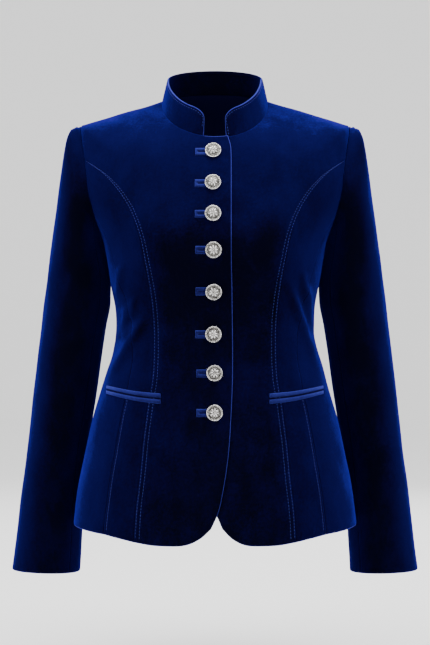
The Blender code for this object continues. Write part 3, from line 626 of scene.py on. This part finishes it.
def new_cloth(name, outer, normal, sink, wall, free, side=LEFT, highlight_width=THIN_EDGE_HIGHLIGHT_WIDTH,
              lining=1):
    """A closed sheet of cloth with rounded edges, from the grid of its outer face and each point's
    distance from its free edges, along which a band of the lighter edge velvet is painted as a
    highlight where the folded pile catches the light."""
    face = outer - normal * sink[..., None]
    inner = outer - normal * (wall - 0.4 * sink)[..., None]
    faces, loop = sheet_faces(*outer.shape[:2])
    quads = (len(faces) - len(loop)) // 2
    indices = np.zeros(len(faces), np.int32)
    middle = (free[:-1, :-1] + free[1:, :-1] + free[1:, 1:] + free[:-1, 1:]) / 4
    indices[:quads] = np.where(middle < highlight_width, 2, 0).ravel()
    indices[quads:2 * quads] = lining
    indices[2 * quads:] = np.where(free.ravel()[loop] < highlight_width, 2, 0)
    points = np.concatenate((face.reshape(-1, 3), inner.reshape(-1, 3)))
    return new_piece(name, points, faces, (velvet, velvet_inside, velvet_edge_highlight), side,
                     indices)


# Each panel's cut: how it is named, width and length of the flat cloth in metres and its
# area, the rows along its left and right edge, the steps across, and its stitching: the
# distances inside the right edge, and the level where it starts.
Cut = namedtuple("Cut", "panel width length area left across right stitches start")
CUTS = (
    Cut("front", 0.227, 0.663, 0.0811, STITCHED_EDGE, 34, DOUBLE_STITCHED, (1.5, 7.0),
        float(armhole_at(PRINCESS_AT)[1])),
    Cut("side_front", 0.076, 0.530, 0.0249, PLAIN_EDGE, 22, STITCHED_EDGE, (3.2,),
        level_at(-410)),
    Cut("side", 0.214, 0.459, 0.0749, PLAIN_EDGE, 36, PLAIN_EDGE, (), 0.0),
    Cut("back", 0.210, 0.644, 0.0870, PLAIN_EDGE, 40, PLAIN_EDGE, (), 0.0),
)
COLLAR_END = 10.0
GROOVE = 0.2
GROOVE_WIDTH = 0.9
SEWN = []

grids = panel_places()
for cut in CUTS:
    places = cloth_grid(grids[cut.panel], body_point, cut.left, cut.across, cut.right,
                        PLAIN_EDGE, 140, PLAIN_EDGE)
    is_front = cut.panel == "front"
    distances = edge_distances(places, body_point)
    from_left, from_right, from_top, from_bottom = distances
    # The neck edge of the fronts is free between the collar's end and the front edge.
    free_top = (places[..., 0] < COLLAR_END) & is_front
    top_round = [np.where(free_top, free, seam) for free, seam in zip(FREE_ROUND, SEAM_ROUND)]
    sink = edge_sink(distances, (FREE_ROUND if is_front else SEAM_ROUND, SEAM_ROUND, top_round,
                                 FREE_ROUND))
    free = from_bottom
    if is_front:
        free = np.minimum(np.minimum(from_left, from_bottom), np.where(free_top, from_top, 99))
    below_start = places[..., -1:, 1] > cut.start
    for side, word in SIDES:
        outer, normal = body_surface(places, side, is_front)
        for at in cut.stitches:
            groove = GROOVE * np.exp(-((from_right - at) / GROOVE_WIDTH) ** 2) * below_start
            outer = outer - normal * groove[..., None]
        first = int(np.argmax(below_start[:, 0]))
        for at in cut.stitches:
            column = int(np.argmin(np.abs(from_right[len(from_right) // 2] - at)))
            SEWN.append((side, outer[first:-2, column], normal[first:-2, column]))
        piece = new_cloth(f"velvet_{word}_{cut.panel}", outer, normal, sink, WALL, free, side,
                          EDGE_HIGHLIGHT_WIDTH if is_front else THIN_EDGE_HIGHLIGHT_WIDTH)
        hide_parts(f"{word}_{cut.panel}")


# Stand collar: a strip of the same velvet, doubled over its interfacing, sewn to the neck
# and rounded at its two front ends.
COLLAR_WALL = 2.4
COLLAR_RIM = Ring(66.0, 24, 34, -60, -19, 61, 50, 2.0, 2.0, 1.0)
COLLAR_CORNER = 13.0
COLLAR_ROUND_TO = 22.0
COLLAR_FOOT = -0.02
COLLAR_FOOT_TO = 0.35
COLLAR_STITCH_ROW = 5
COLLAR_STITCH_DEPTH = 4.0


def collar_point(turn, height):
    """Collar between the neck seam and its rim, on the wearer's left for a turn over 0."""
    size = np.abs(turn)
    low = body_point(size, np.zeros(np.shape(size)))
    high = ring_point(COLLAR_RIM._asdict(), size)
    point = low + (high - low) * np.asarray(height)[..., None]
    point[..., 0] = point[..., 0] * np.sign(turn)
    return point


half = np.concatenate((COLLAR_END + (COLLAR_ROUND_TO - COLLAR_END) * np.linspace(0, 1, 13) ** 1.8,
                       np.linspace(COLLAR_ROUND_TO, 180, 60)[1:]))
turns = np.concatenate((half, 360 - half[-2::-1]))
signed = np.where(turns > 180, turns - 360, turns)
signed[len(half) - 1] = 180
tall = np.linalg.norm(collar_point(signed, np.ones(len(signed)))
                      - collar_point(signed, np.zeros(len(signed))), axis=-1)
from_end = np.clip((np.minimum(turns, 360 - turns) - COLLAR_END)
                   / (COLLAR_ROUND_TO - COLLAR_END), 0, 1)
top = 1 - COLLAR_CORNER * (1 - np.sqrt(1 - (1 - from_end) ** 2)) / tall


def collar_at(turn, height):
    """Collar's point at a turn that goes on past the centre back, under its rounded top."""
    size = np.where(turn > 180, 360 - turn, turn)
    point = collar_point(size, height * np.interp(turn, turns, top))
    point[..., 0] = point[..., 0] * np.where(turn > 180, -1, 1)
    return point


collar_grid = np.stack(np.broadcast_arrays(turns[None, :],
                                           np.linspace(1, COLLAR_FOOT, 9)[:, None]), -1)
places = cloth_grid(collar_grid, collar_at, STITCHED_EDGE, 120, STITCHED_EDGE,
                    STITCHED_EDGE, 10, PLAIN_EDGE)
outer = collar_at(places[..., 0], places[..., 1])
normal = np.cross(np.gradient(outer, axis=1), -np.gradient(outer, axis=0))
normal /= np.linalg.norm(normal, axis=-1, keepdims=True)
# The left end lies behind the right one, and its foot follows the left front's neck edge.
lap = lap_depth(np.abs(outer[..., 0])) * (places[..., 0] < 90)
foot = np.clip(1 - places[..., 1] / COLLAR_FOOT_TO, 0, 1)[..., None]
behind = normal + foot * (body_normal(np.minimum(places[..., 0], 90), 0 * lap) - normal)
outer = outer + normal * unevenness(outer)[..., None] - behind * lap[..., None]
distances = edge_distances(places, collar_at)
sink = edge_sink(distances, (FREE_ROUND, FREE_ROUND, FREE_ROUND, SEAM_ROUND))
near_edge = np.min(distances[:3], axis=0)
outer = outer - normal * (GROOVE * np.exp(-((near_edge - COLLAR_STITCH_DEPTH) / GROOVE_WIDTH)
                                          ** 2))[..., None]
row = COLLAR_STITCH_ROW
SEWN.append((LEFT, *(np.concatenate((grid[-4:row:-1, row], grid[row, row:-row],
                                     grid[row:-4, -row - 1])) for grid in (outer, normal))))
piece = new_cloth("velvet_collar", outer, normal, sink, COLLAR_WALL, near_edge, lining=0)
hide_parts("collar")


# Sleeves: two cuts each, an upper one over the outside of the arm and a narrow one under it,
# joined by two long seams. The head is eased into the armhole and stands up a little.
# Each row is z, the outer and the inner side's x, and the front's and the back's y.
SLEEVE_RINGS = np.array((
    (-215, 229.5, 151.3, -35, 73),
    (-245, 233.8, 145.8, -27, 80),
    (-275, 238.2, 146.0, -21, 85),
    (-310, 242.8, 152.0, -17, 87),
    (-344, 247.2, 157.2, -13, 89),
    (-414, 256.0, 167.6, -4, 94),
    (-484, 264.2, 179.0, 4, 98),
    (-555, 274.0, 186.0, 10, 99),
    (-598, 278.8, 187.0, 10, 96),
    (-652, 285.5, 190.0, 8, 92),
))
SLEEVE_ROUND = 2.1
CUFF_TILT = 3.0
CUFF_TILT_FROM = 598.0
HEAD_SHARPNESS = 0.042
HEAD_FULLNESS = 0.82
SIDE_SOFTNESS = 0.26
SLEEVE_SHIFT = 0.35
SLOPE_STEP = 12.0
SHARE_STEP = 0.002


def sleeve_ring_point(share, z):
    """Point of the sleeve below its head: the share goes round from the outer side."""
    rows = -SLEEVE_RINGS[:, 0]
    outer, inner, front, back = (smooth_table(rows, column, -z) for column in SLEEVE_RINGS.T[1:])
    angle = 2 * np.pi * share
    power = SLEEVE_ROUND
    reach = (np.abs(np.cos(angle)) ** power + np.abs(np.sin(angle)) ** power) ** (-1 / power)
    tilt = np.clip((-z - CUFF_TILT_FROM) / (rows[-1] - CUFF_TILT_FROM), 0, 1)
    return np.stack(((outer + inner) / 2 + (outer - inner) / 2 * reach * np.cos(angle),
                     (front + back) / 2 - (back - front) / 2 * reach * np.sin(angle),
                     z - CUFF_TILT * tilt * (1 - np.cos(angle)) / 2), -1)


def sleeve_point(share, run):
    """Point of the sleeve: the run is 0 to 1 down the head, and 1 to 2 below it."""
    top_z, cuff_z = SLEEVE_RINGS[[0, -1], 0]
    seam = body_point(*np.moveaxis(armhole_at(share), -1, 0)) + (SLEEVE_SHIFT, 0, 0)
    biceps = sleeve_ring_point(share, np.full(share.shape, top_z))
    below = sleeve_ring_point(share, np.full(share.shape, top_z - SLOPE_STEP))
    down = (below - biceps) / SLOPE_STEP
    length = np.linalg.norm(biceps - seam, axis=-1, keepdims=True)
    bulge = ((biceps - seam) - length * down) * HEAD_FULLNESS
    top = np.clip(np.cos(2 * np.pi * share), 0, 1)[..., None] ** 2
    soft = SIDE_SOFTNESS + (HEAD_SHARPNESS - SIDE_SOFTNESS) * top
    s = np.clip(run, 0, 1)[..., None]
    head = (seam + (biceps - seam) * s
            + bulge * (1 - np.exp(-s / soft)) * (1 - s) / (1 - np.exp(-1 / soft)))
    lower = sleeve_ring_point(share, top_z + (cuff_z - top_z) * np.clip(run - 1, 0, 1))
    return np.where(run[..., None] <= 1, head, lower)


def sleeve_normal(share, run):
    return form_normal(sleeve_point, share, run, -SHARE_STEP, SHARE_STEP, 2)


# Soft folds of each sleeve, one row each: the share of the way round and the height of both
# ends, half width and height.
FOLDS = {RIGHT: (
    (0.30, -205, 0.22, -262, 7, 1.5),
    (0.36, -318, 0.20, -342, 9, 1.4),
    (0.38, -352, 0.24, -368, 8, -1.1),
    (0.66, -300, 0.80, -330, 10, 1.2),
    (0.08, -236, 0.14, -300, 9, 0.8),
    (0.22, -470, 0.30, -520, 9, 0.9),
), LEFT: (
    (0.31, -210, 0.24, -248, 7, 1.3),
    (0.37, -326, 0.22, -336, 8, 1.5),
    (0.37, -360, 0.25, -384, 9, -1.2),
    (0.68, -310, 0.82, -322, 9, 1.1),
    (0.10, -250, 0.13, -322, 9, 0.7),
    (0.24, -450, 0.28, -512, 9, 0.8),
)}
ARM_GIRTH = 270.0
SLEEVE_UNEVENNESS = 0.8
HEAD_FADE = 12

# The sleeve's inner side comes a little nearer to the body below the armhole: where, how
# far round and down, and by how much.
UNDERARM_AT = (0.5, -222)
UNDERARM_SPREAD = (0.10, 34)
UNDERARM_LIFT = 2.0


def fold_height(share, point, side):
    """Height of the sleeve's folds, measured round the arm and down it."""
    total = 0
    for share0, z0, share1, z1, width, height in FOLDS[side]:
        total = total + ridge(np.mod(share, 1) * ARM_GIRTH, point[..., 2],
                              (share0 * ARM_GIRTH, z0, share1 * ARM_GIRTH, z1), width, height,
                              2.5, 0.7)
    return total


HEAD_ROWS = (0, 0.4, 1.2, 2.2, 3.4, 5, 7, 9.5, 12.5)
SLEEVE_CUTS = (
    ("upper", SIDE_BACK_AT - 1, SIDE_FRONT_AT, 0.212, 0.632, 0.1155),
    ("under", SIDE_FRONT_AT, SIDE_BACK_AT, 0.116, 0.513, 0.0460),
)
for part, first, last, width, length, area in SLEEVE_CUTS:
    grid = np.stack(np.meshgrid(np.linspace(first, last, 60),
                                np.concatenate((np.linspace(0, 1, 60) ** 1.6,
                                                np.linspace(1, 2, 80)[1:]))), -1)
    places = cloth_grid(grid, sleeve_point, PLAIN_EDGE, 44 if part == "upper" else 28, PLAIN_EDGE,
                        HEAD_ROWS, 130, PLAIN_EDGE)
    share, run = places[..., 0], places[..., 1]
    distances = edge_distances(places, sleeve_point)
    _, _, from_top, from_bottom = distances
    sink = edge_sink(distances, (SEAM_ROUND, SEAM_ROUND, SEAM_ROUND, FREE_ROUND))
    for side, word in SIDES:
        outer = sleeve_point(share, run)
        normal = sleeve_normal(share, run)
        lift = (fold_height(share, outer, side)
                + SLEEVE_UNEVENNESS * unevenness(outer * (side, 1, 1)))
        inner_side = np.exp(-((share - UNDERARM_AT[0]) / UNDERARM_SPREAD[0]) ** 2
                            - ((outer[..., 2] - UNDERARM_AT[1]) / UNDERARM_SPREAD[1]) ** 2)
        lift = lift * np.clip(from_top / HEAD_FADE, 0, 1) + UNDERARM_LIFT * inner_side
        outer = outer + normal * lift[..., None]
        piece = new_cloth(f"velvet_{word}_{part}_sleeve", outer[:, ::-1], normal[:, ::-1],
                          sink[:, ::-1], WALL, from_bottom[:, ::-1], side)
        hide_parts(f"{word}_{part}_sleeve")


# Pocket strips and bound buttonholes: narrow bias strips of the same velvet, drawn in a lighter
# copy of it. A slit runs between the two strips of each.
velvet_trim = velvet_material("velvet_trim", ((0.0, "#0f0f36"), (0.4, "#1d205c"),
                                              (1.0, "#383e8c")), 0.2)
POCKET_SLIT = ((72.0, -406.6), (104, -403.6), (146.5, -396.6))
WELT_HEIGHT = 6.2
WELT_SLIT = 1.4
STRIP_GAP = 0.25
BUTTONS = ((-2.5, -78.0), (-2.8, -121.9), (-2.6, -163.4), (-2.0, -210.8),
           (-1.7, -264.7), (-2.1, -321.3), (-0.6, -373.0), (-0.6, -424.8))
BUTTONHOLE_LENGTH = 23.8
BUTTONHOLE_HEIGHT = 10.4
HOLE_PAST_BUTTON = 1.5


def on_form(side, xs, zs):
    """Points and normals of the front at places seen from the front."""
    return body_surface(places_seen(xs, np.broadcast_to(zs, xs.shape)), side)


def lay_strip(name, xs, zs_at, heights, side, node_name, dark):
    """A folded strip of velvet on the front, from a table of heights across it. The dark rows and
    the columns up to a number are the faces that roll down into its slit, drawn in the dark inside
    colour as painted shade."""
    low, high = [], []
    for row, height in enumerate(heights):
        points, normals = on_form(side, xs, zs_at(row))
        low.append(points + normals * STRIP_GAP)
        high.append(points + normals * (STRIP_GAP + np.asarray(height)[..., None]))
    faces, _ = sheet_faces(len(heights), len(xs))
    indices = np.zeros(len(faces), np.int32)
    for row in dark[0]:
        indices[row * (len(xs) - 1):row * (len(xs) - 1) + dark[1]] = 1
    piece = new_piece(name, np.concatenate(high + low), faces, (velvet_trim, velvet_inside),
                      side, indices)
    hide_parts(node_name)


WELT_PROFILE = ((1.0, 0.25), (0.94, 0.75), (0.82, 1.1), (0.6, 1.35), (0.4, 1.4), (0.22, 1.2),
                (0.12, 0.8), (0.0, 0.2))
ends_at = np.concatenate(((0, 0.006, 0.02), np.linspace(0.05, 0.95, 30), (0.98, 0.994, 1)))
end_height = np.interp(ends_at, (0, 0.006, 0.02, 0.98, 0.994, 1), (0.25, 0.75, 1, 1, 0.75, 0.25))
slit = curve_through(POCKET_SLIT, ends_at)
tall_at = WELT_HEIGHT * (1 - 0.22 * ends_at)
for side, word in SIDES:
    for part, way in (("upper", 1), ("lower", -1)):
        profile = WELT_PROFILE if way > 0 else WELT_PROFILE[::-1]
        # The strip's row beside the slit is painted dark as the slit's shade.
        lay_strip(f"velvet_{word}_pocket_{part}_strip", slit[:, 0],
                  lambda row: slit[:, 1] + way * (WELT_SLIT / 2 + profile[row][0] * tall_at),
                  [height * end_height for _, height in profile], side,
                  f"{word}_pocket_{part}_welt", ((6 if way > 0 else 0,), len(slit) - 1))

LIPS = ((0.5, 0.2), (0.47, 0.7), (0.40, 1.1), (0.29, 1.3), (0.19, 1.15), (0.12, 0.75),
        (0.06, 0.25))
LIPS += tuple((-share, height) for share, height in LIPS[::-1])
LIPS_MEET = 3.6
LIPS_BLEND = 1.6
LIPS_MEET_HEIGHT = 1.15
for number, (x, z) in enumerate(BUTTONS, 1):
    xs = -x + np.concatenate((np.linspace(-HOLE_PAST_BUTTON, BUTTONHOLE_LENGTH - 5, 18),
                              BUTTONHOLE_LENGTH - np.array((4, 3, 2, 1.2, 0.6, 0.25, 0))))
    left = BUTTONHOLE_LENGTH - (xs + x)
    heights = []
    for share, height in LIPS:
        closed = np.clip((LIPS_MEET - left) / LIPS_BLEND, 0, 1) * (abs(share) < 0.2)
        lip = height * (1 - closed) + LIPS_MEET_HEIGHT * closed
        heights.append(np.minimum(lip, 0.2 + 1.6 * np.sqrt(np.clip(left, 0, 1))))
    # The middle rows, where the lips meet, are painted dark as the slit's shade.
    lay_strip(f"velvet_buttonhole_{number}", xs,
              lambda row: z + LIPS[row][0] * BUTTONHOLE_HEIGHT + 0 * xs, heights, RIGHT,
              f"buttonhole_{number}", ((5, 6, 7), 18))


# Topstitching: pairs of rows along the bust seams, one along each side seam of the skirt,
# and one round the collar. The thread is a little lighter than the velvet.
thread = plain_material("thread", "#26327e", 0.6)
STITCH_LENGTH = 2.2
STITCH_PITCH = 4.2
STITCH_RADIUS = 0.24


def sew(name, rows):
    """One mesh of all the stitches along rows of points on the cloth."""
    points, faces = [], []
    profile = ((0, 0.35, -0.30), (0.15, 0.9, 0.02), (0.5, 1.0, 0.14), (0.85, 0.9, 0.02),
               (1, 0.35, -0.30))
    for side, path, normal in rows:
        length = path_length(path)
        for number in range(int((length[-1] - STITCH_LENGTH) / STITCH_PITCH)):
            first = number * STITCH_PITCH
            at = first + np.array([share for share, _, _ in profile]) * STITCH_LENGTH
            middle = np.stack([np.interp(at, length, path[:, k]) for k in range(3)], -1)
            up = np.stack([np.interp(at, length, normal[:, k]) for k in range(3)], -1)
            along = middle[-1] - middle[0]
            along /= np.linalg.norm(along)
            start = len(points)
            for k, (_, size, height) in enumerate(profile):
                aside = np.cross(along, up[k])
                for turn in range(6):
                    angle = math.pi * turn / 3
                    points.append(middle[k] + up[k] * (height + STITCH_RADIUS * size
                                                       * math.sin(angle))
                                  + aside * STITCH_RADIUS * size * math.cos(angle))
            for k in range(len(profile) - 1):
                for turn in range(6):
                    after = (turn + 1) % 6
                    faces.append((start + 6 * k + turn, start + 6 * k + after,
                                  start + 6 * k + 6 + after, start + 6 * k + 6 + turn))
            faces.append(tuple(start + turn for turn in range(5, -1, -1)))
            faces.append(tuple(start + 24 + turn for turn in range(6)))
    new_piece(name, points, faces, (thread,), rows[0][0])


sew("thread_right", [row for row in SEWN[:-1] if row[0] == RIGHT])
sew("thread_left", [row for row in SEWN[:-1] if row[0] == LEFT])
sew("thread_collar", SEWN[-1:])


# Buttons: cast metal with an old silver finish, a raised rim, a ring of beads and a rosette of
# petals on the dome.
def silver_material(name, colours, roughness):
    """Cast metal, darkened and rubbed bright again: tarnish stays in half-mm spots."""
    material, tree = new_material(name)
    spots = node(tree, "ShaderNodeTexNoise", {"Scale": 850, "Detail": 2, "Roughness": 0.5},
                 {"Vector": node(tree, "ShaderNodeTexCoord").outputs["Object"]})
    ramp = node(tree, "ShaderNodeValToRGB", None, {"Fac": spots}, colours)
    bump = node(tree, "ShaderNodeBump", {"Strength": 0.25, "Distance": 0.0003},
                {"Height": spots})
    shader = node(tree, "ShaderNodeBsdfPrincipled", {"Metallic": 1.0, "Roughness": roughness},
                  {"Base Color": ramp, "Normal": bump})
    node(tree, "ShaderNodeOutputMaterial", None, {"Surface": shader})
    return material


silver = silver_material("antique_silver", ((0.36, "#5a5856"), (0.45, "#a09e9a"),
                                            (0.55, "#dad8d6")), 0.2)
patina = silver_material("silver_patina", ((0.36, "#1c1b1a"), (0.5, "#4a4846"),
                                           (0.64, "#92908c")), 0.3)
BUTTON_SEAT = 2.6
BUTTON_UPRIGHT = 0.3
BUTTON_NARROWED = 0.96
BUTTON_SPIN = 0.35
LATHE = ((0.0, 4.3), (2.0, 4.25), (4.4, 3.9), (6.4, 3.25), (7.9, 2.35), (8.25, 2.5), (8.5, 2.7),
         (8.8, 2.6), (9.0, 2.15), (9.4, 1.95), (9.9, 2.1), (10.25, 2.55), (10.6, 2.8),
         (11.0, 2.65), (11.25, 2.1), (11.2, 1.0), (10.9, 0.3), (10.0, 0.0), (0.0, 0.0))
PATINA_TO = (7.9, 9.9)
SEGMENTS = 56
BEADS = 30
PETALS = 8
OUTWARD = np.array((0.0, 0.0, 1.0))


def direction(turn, turns):
    """Direction across the button's face at a share of the way round it."""
    angle = 2 * math.pi * turn / turns
    return np.array((math.cos(angle), math.sin(angle), 0))


def blob(points, faces, centre, axes, turns=8, rings=5):
    """Adds the upper part of a small ellipsoid, open below where it sinks into the metal."""
    start = len(points)
    for ring in range(rings):
        tilt = math.pi / 2 * 1.15 * (ring + 1) / rings
        for turn in range(turns):
            x, y, _ = direction(turn, turns)
            points.append(centre + axes[0] * math.sin(tilt) * x + axes[1] * math.sin(tilt) * y
                          + axes[2] * math.cos(tilt))
    points.append(centre + axes[2])
    for turn in range(turns):
        after = (turn + 1) % turns
        faces.append((start + rings * turns, start + turn, start + after))
        for ring in range(rings - 1):
            first = start + ring * turns
            faces.append((first + turn, first + turns + turn, first + turns + after,
                          first + after))
    faces.append(tuple(start + (rings - 1) * turns + turn for turn in range(turns - 1, -1, -1)))


def dome_height(radius):
    return float(np.interp(radius, [r for r, _ in LATHE[:9]], [h for _, h in LATHE[:9]]))


def button_shape():
    """A button's points and faces in its own frame: x, y across its face and z outward."""
    points, faces, indices = [], [], []
    for radius, height in LATHE[1:-1]:
        points += [direction(turn, SEGMENTS) * radius + OUTWARD * height
                   for turn in range(SEGMENTS)]
    for ring in range(len(LATHE) - 3):
        inner, outer = LATHE[ring + 1][0], LATHE[ring + 2][0]
        dark = ring < 4 or PATINA_TO[0] <= (inner + outer) / 2 <= PATINA_TO[1]
        first = ring * SEGMENTS
        for turn in range(SEGMENTS):
            after = (turn + 1) % SEGMENTS
            faces.append((first + turn, first + SEGMENTS + turn, first + SEGMENTS + after,
                          first + after))
            indices.append(int(dark and inner < 10))
    points.append(OUTWARD * LATHE[0][1])
    faces += [(len(points) - 1, turn, (turn + 1) % SEGMENTS) for turn in range(SEGMENTS)]
    indices += [1] * SEGMENTS
    last = (len(LATHE) - 3) * SEGMENTS
    faces.append(tuple(last + turn for turn in range(SEGMENTS - 1, -1, -1)))
    for bead in range(BEADS):
        out = direction(bead, BEADS)
        blob(points, faces, out * 9.45 + OUTWARD * 1.95,
             (out * 0.72, np.cross(OUTWARD, out) * 0.8, OUTWARD * 0.95))
    for petal in range(PETALS):
        out = direction(petal, PETALS)
        reach, long = (4.5, 2.7) if petal % 2 else (4.0, 2.3)
        blob(points, faces, out * reach + OUTWARD * (dome_height(reach) - 0.15),
             ((out * 0.94 - OUTWARD * 0.34) * long, np.cross(OUTWARD, out) * 1.25,
              (OUTWARD * 0.94 + out * 0.34) * 0.95), turns=12, rings=6)
    for seed in range(7):
        out, tall = (direction(seed, 6) * 1.35, 0.95) if seed < 6 else (0, 1.15)
        blob(points, faces, out + OUTWARD * 4.2,
             (np.array((0.72, 0, 0)), np.array((0, 0.72, 0)), OUTWARD * tall))
    indices += [0] * (len(faces) - len(indices))
    return np.array(points) * (BUTTON_NARROWED, BUTTON_NARROWED, 1), faces, indices


shape, shape_faces, shape_indices = button_shape()
for number, (x, z) in enumerate(BUTTONS, 1):
    seat, normal = on_form(RIGHT, np.array((-x,)), z)
    seat = seat[0] + normal[0] * BUTTON_SEAT
    normal = normal[0] - (0, BUTTON_UPRIGHT, 0)
    normal /= np.linalg.norm(normal)
    across = np.cross(normal, (0, 0, 1))
    across /= np.linalg.norm(across)
    upward = np.cross(across, normal)
    spin = BUTTON_SPIN * math.sin(number * 2.3)
    across, upward = (across * math.cos(spin) + upward * math.sin(spin),
                      upward * math.cos(spin) - across * math.sin(spin))
    points = (seat + shape[:, :1] * across + shape[:, 1:2] * upward
              + shape[:, 2:] * normal)
    piece = new_piece(f"metal_button_{number}", points, shape_faces, (silver, patina),
                      RIGHT, shape_indices)
    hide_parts(f"button_{number}")


# Studio: a seamless pale floor that rises far off, soft light from above and both sides,
# and the photo's view.
sweep_material, tree = new_material("sweep")
shader = node(tree, "ShaderNodeBsdfPrincipled",
              {"Base Color": linear("#fcfcfc"), "Roughness": 0.9, "Specular IOR Level": 0.2})
node(tree, "ShaderNodeOutputMaterial", None, {"Surface": shader})
FLOOR = -0.80
FLAT_TO = 6.0
BEND = 2.0
profile = [(0.0, FLOOR), (FLAT_TO, FLOOR)]
profile += [(FLAT_TO + BEND * math.sin(k * math.pi / 32),
             FLOOR + BEND * (1 - math.cos(k * math.pi / 32))) for k in range(1, 17)]
profile += [(FLAT_TO + BEND, FLOOR + 2 * BEND)]
mesh = bpy.data.meshes.new("sweep")
mesh.from_pydata([(radius * math.cos(k * math.pi / 36), radius * math.sin(k * math.pi / 36), z)
                  for k in range(72) for radius, z in profile], [],
                 [(k * len(profile) + j, (k + 1) % 72 * len(profile) + j,
                   (k + 1) % 72 * len(profile) + j + 1, k * len(profile) + j + 1)
                  for k in range(72) for j in range(len(profile) - 1)])
mesh.materials.append(sweep_material)
mesh.shade_smooth()
sweep = bpy.data.objects.new("sweep", mesh)
bpy.context.scene.collection.objects.link(sweep)

for name, place, size, power in (("light_above", (0, -0.6, 1.9), (2.2, 1.6), 84),
                                 ("light_left", (-1.9, -1.5, 0.5), (1.0, 1.8), 26),
                                 ("light_right", (1.9, -1.5, 0.4), (1.0, 1.8), 23),
                                 ("light_behind", (0.4, 2.2, 0.8), (1.6, 1.6), 30)):
    light = bpy.data.lights.new(name, "AREA")
    light.shape = "RECTANGLE"
    light.size, light.size_y = size
    light.energy = power
    made = bpy.data.objects.new(name, light)
    made.location = place
    aim = Vector((0, 0, -0.3)) - Vector(place)
    made.rotation_euler = aim.to_track_quat("-Z", "Y").to_euler()
    bpy.context.scene.collection.objects.link(made)
world = bpy.data.worlds.new("studio")
world.use_nodes = True
background = world.node_tree.nodes["Background"]
background.inputs["Color"].default_value = (1, 1, 1, 1)
background.inputs["Strength"].default_value = 1.25
bpy.context.scene.world = world

camera_data = bpy.data.cameras.new("camera")
camera_data.sensor_fit = "VERTICAL"
camera_data.sensor_height = 36
camera_data.lens = 97.1
camera = bpy.data.objects.new("camera", camera_data)
camera.location = (0, -2.400, -0.3057)
camera.rotation_euler = (math.pi / 2, 0, 0)
bpy.context.scene.collection.objects.link(camera)
bpy.context.scene.camera = camera
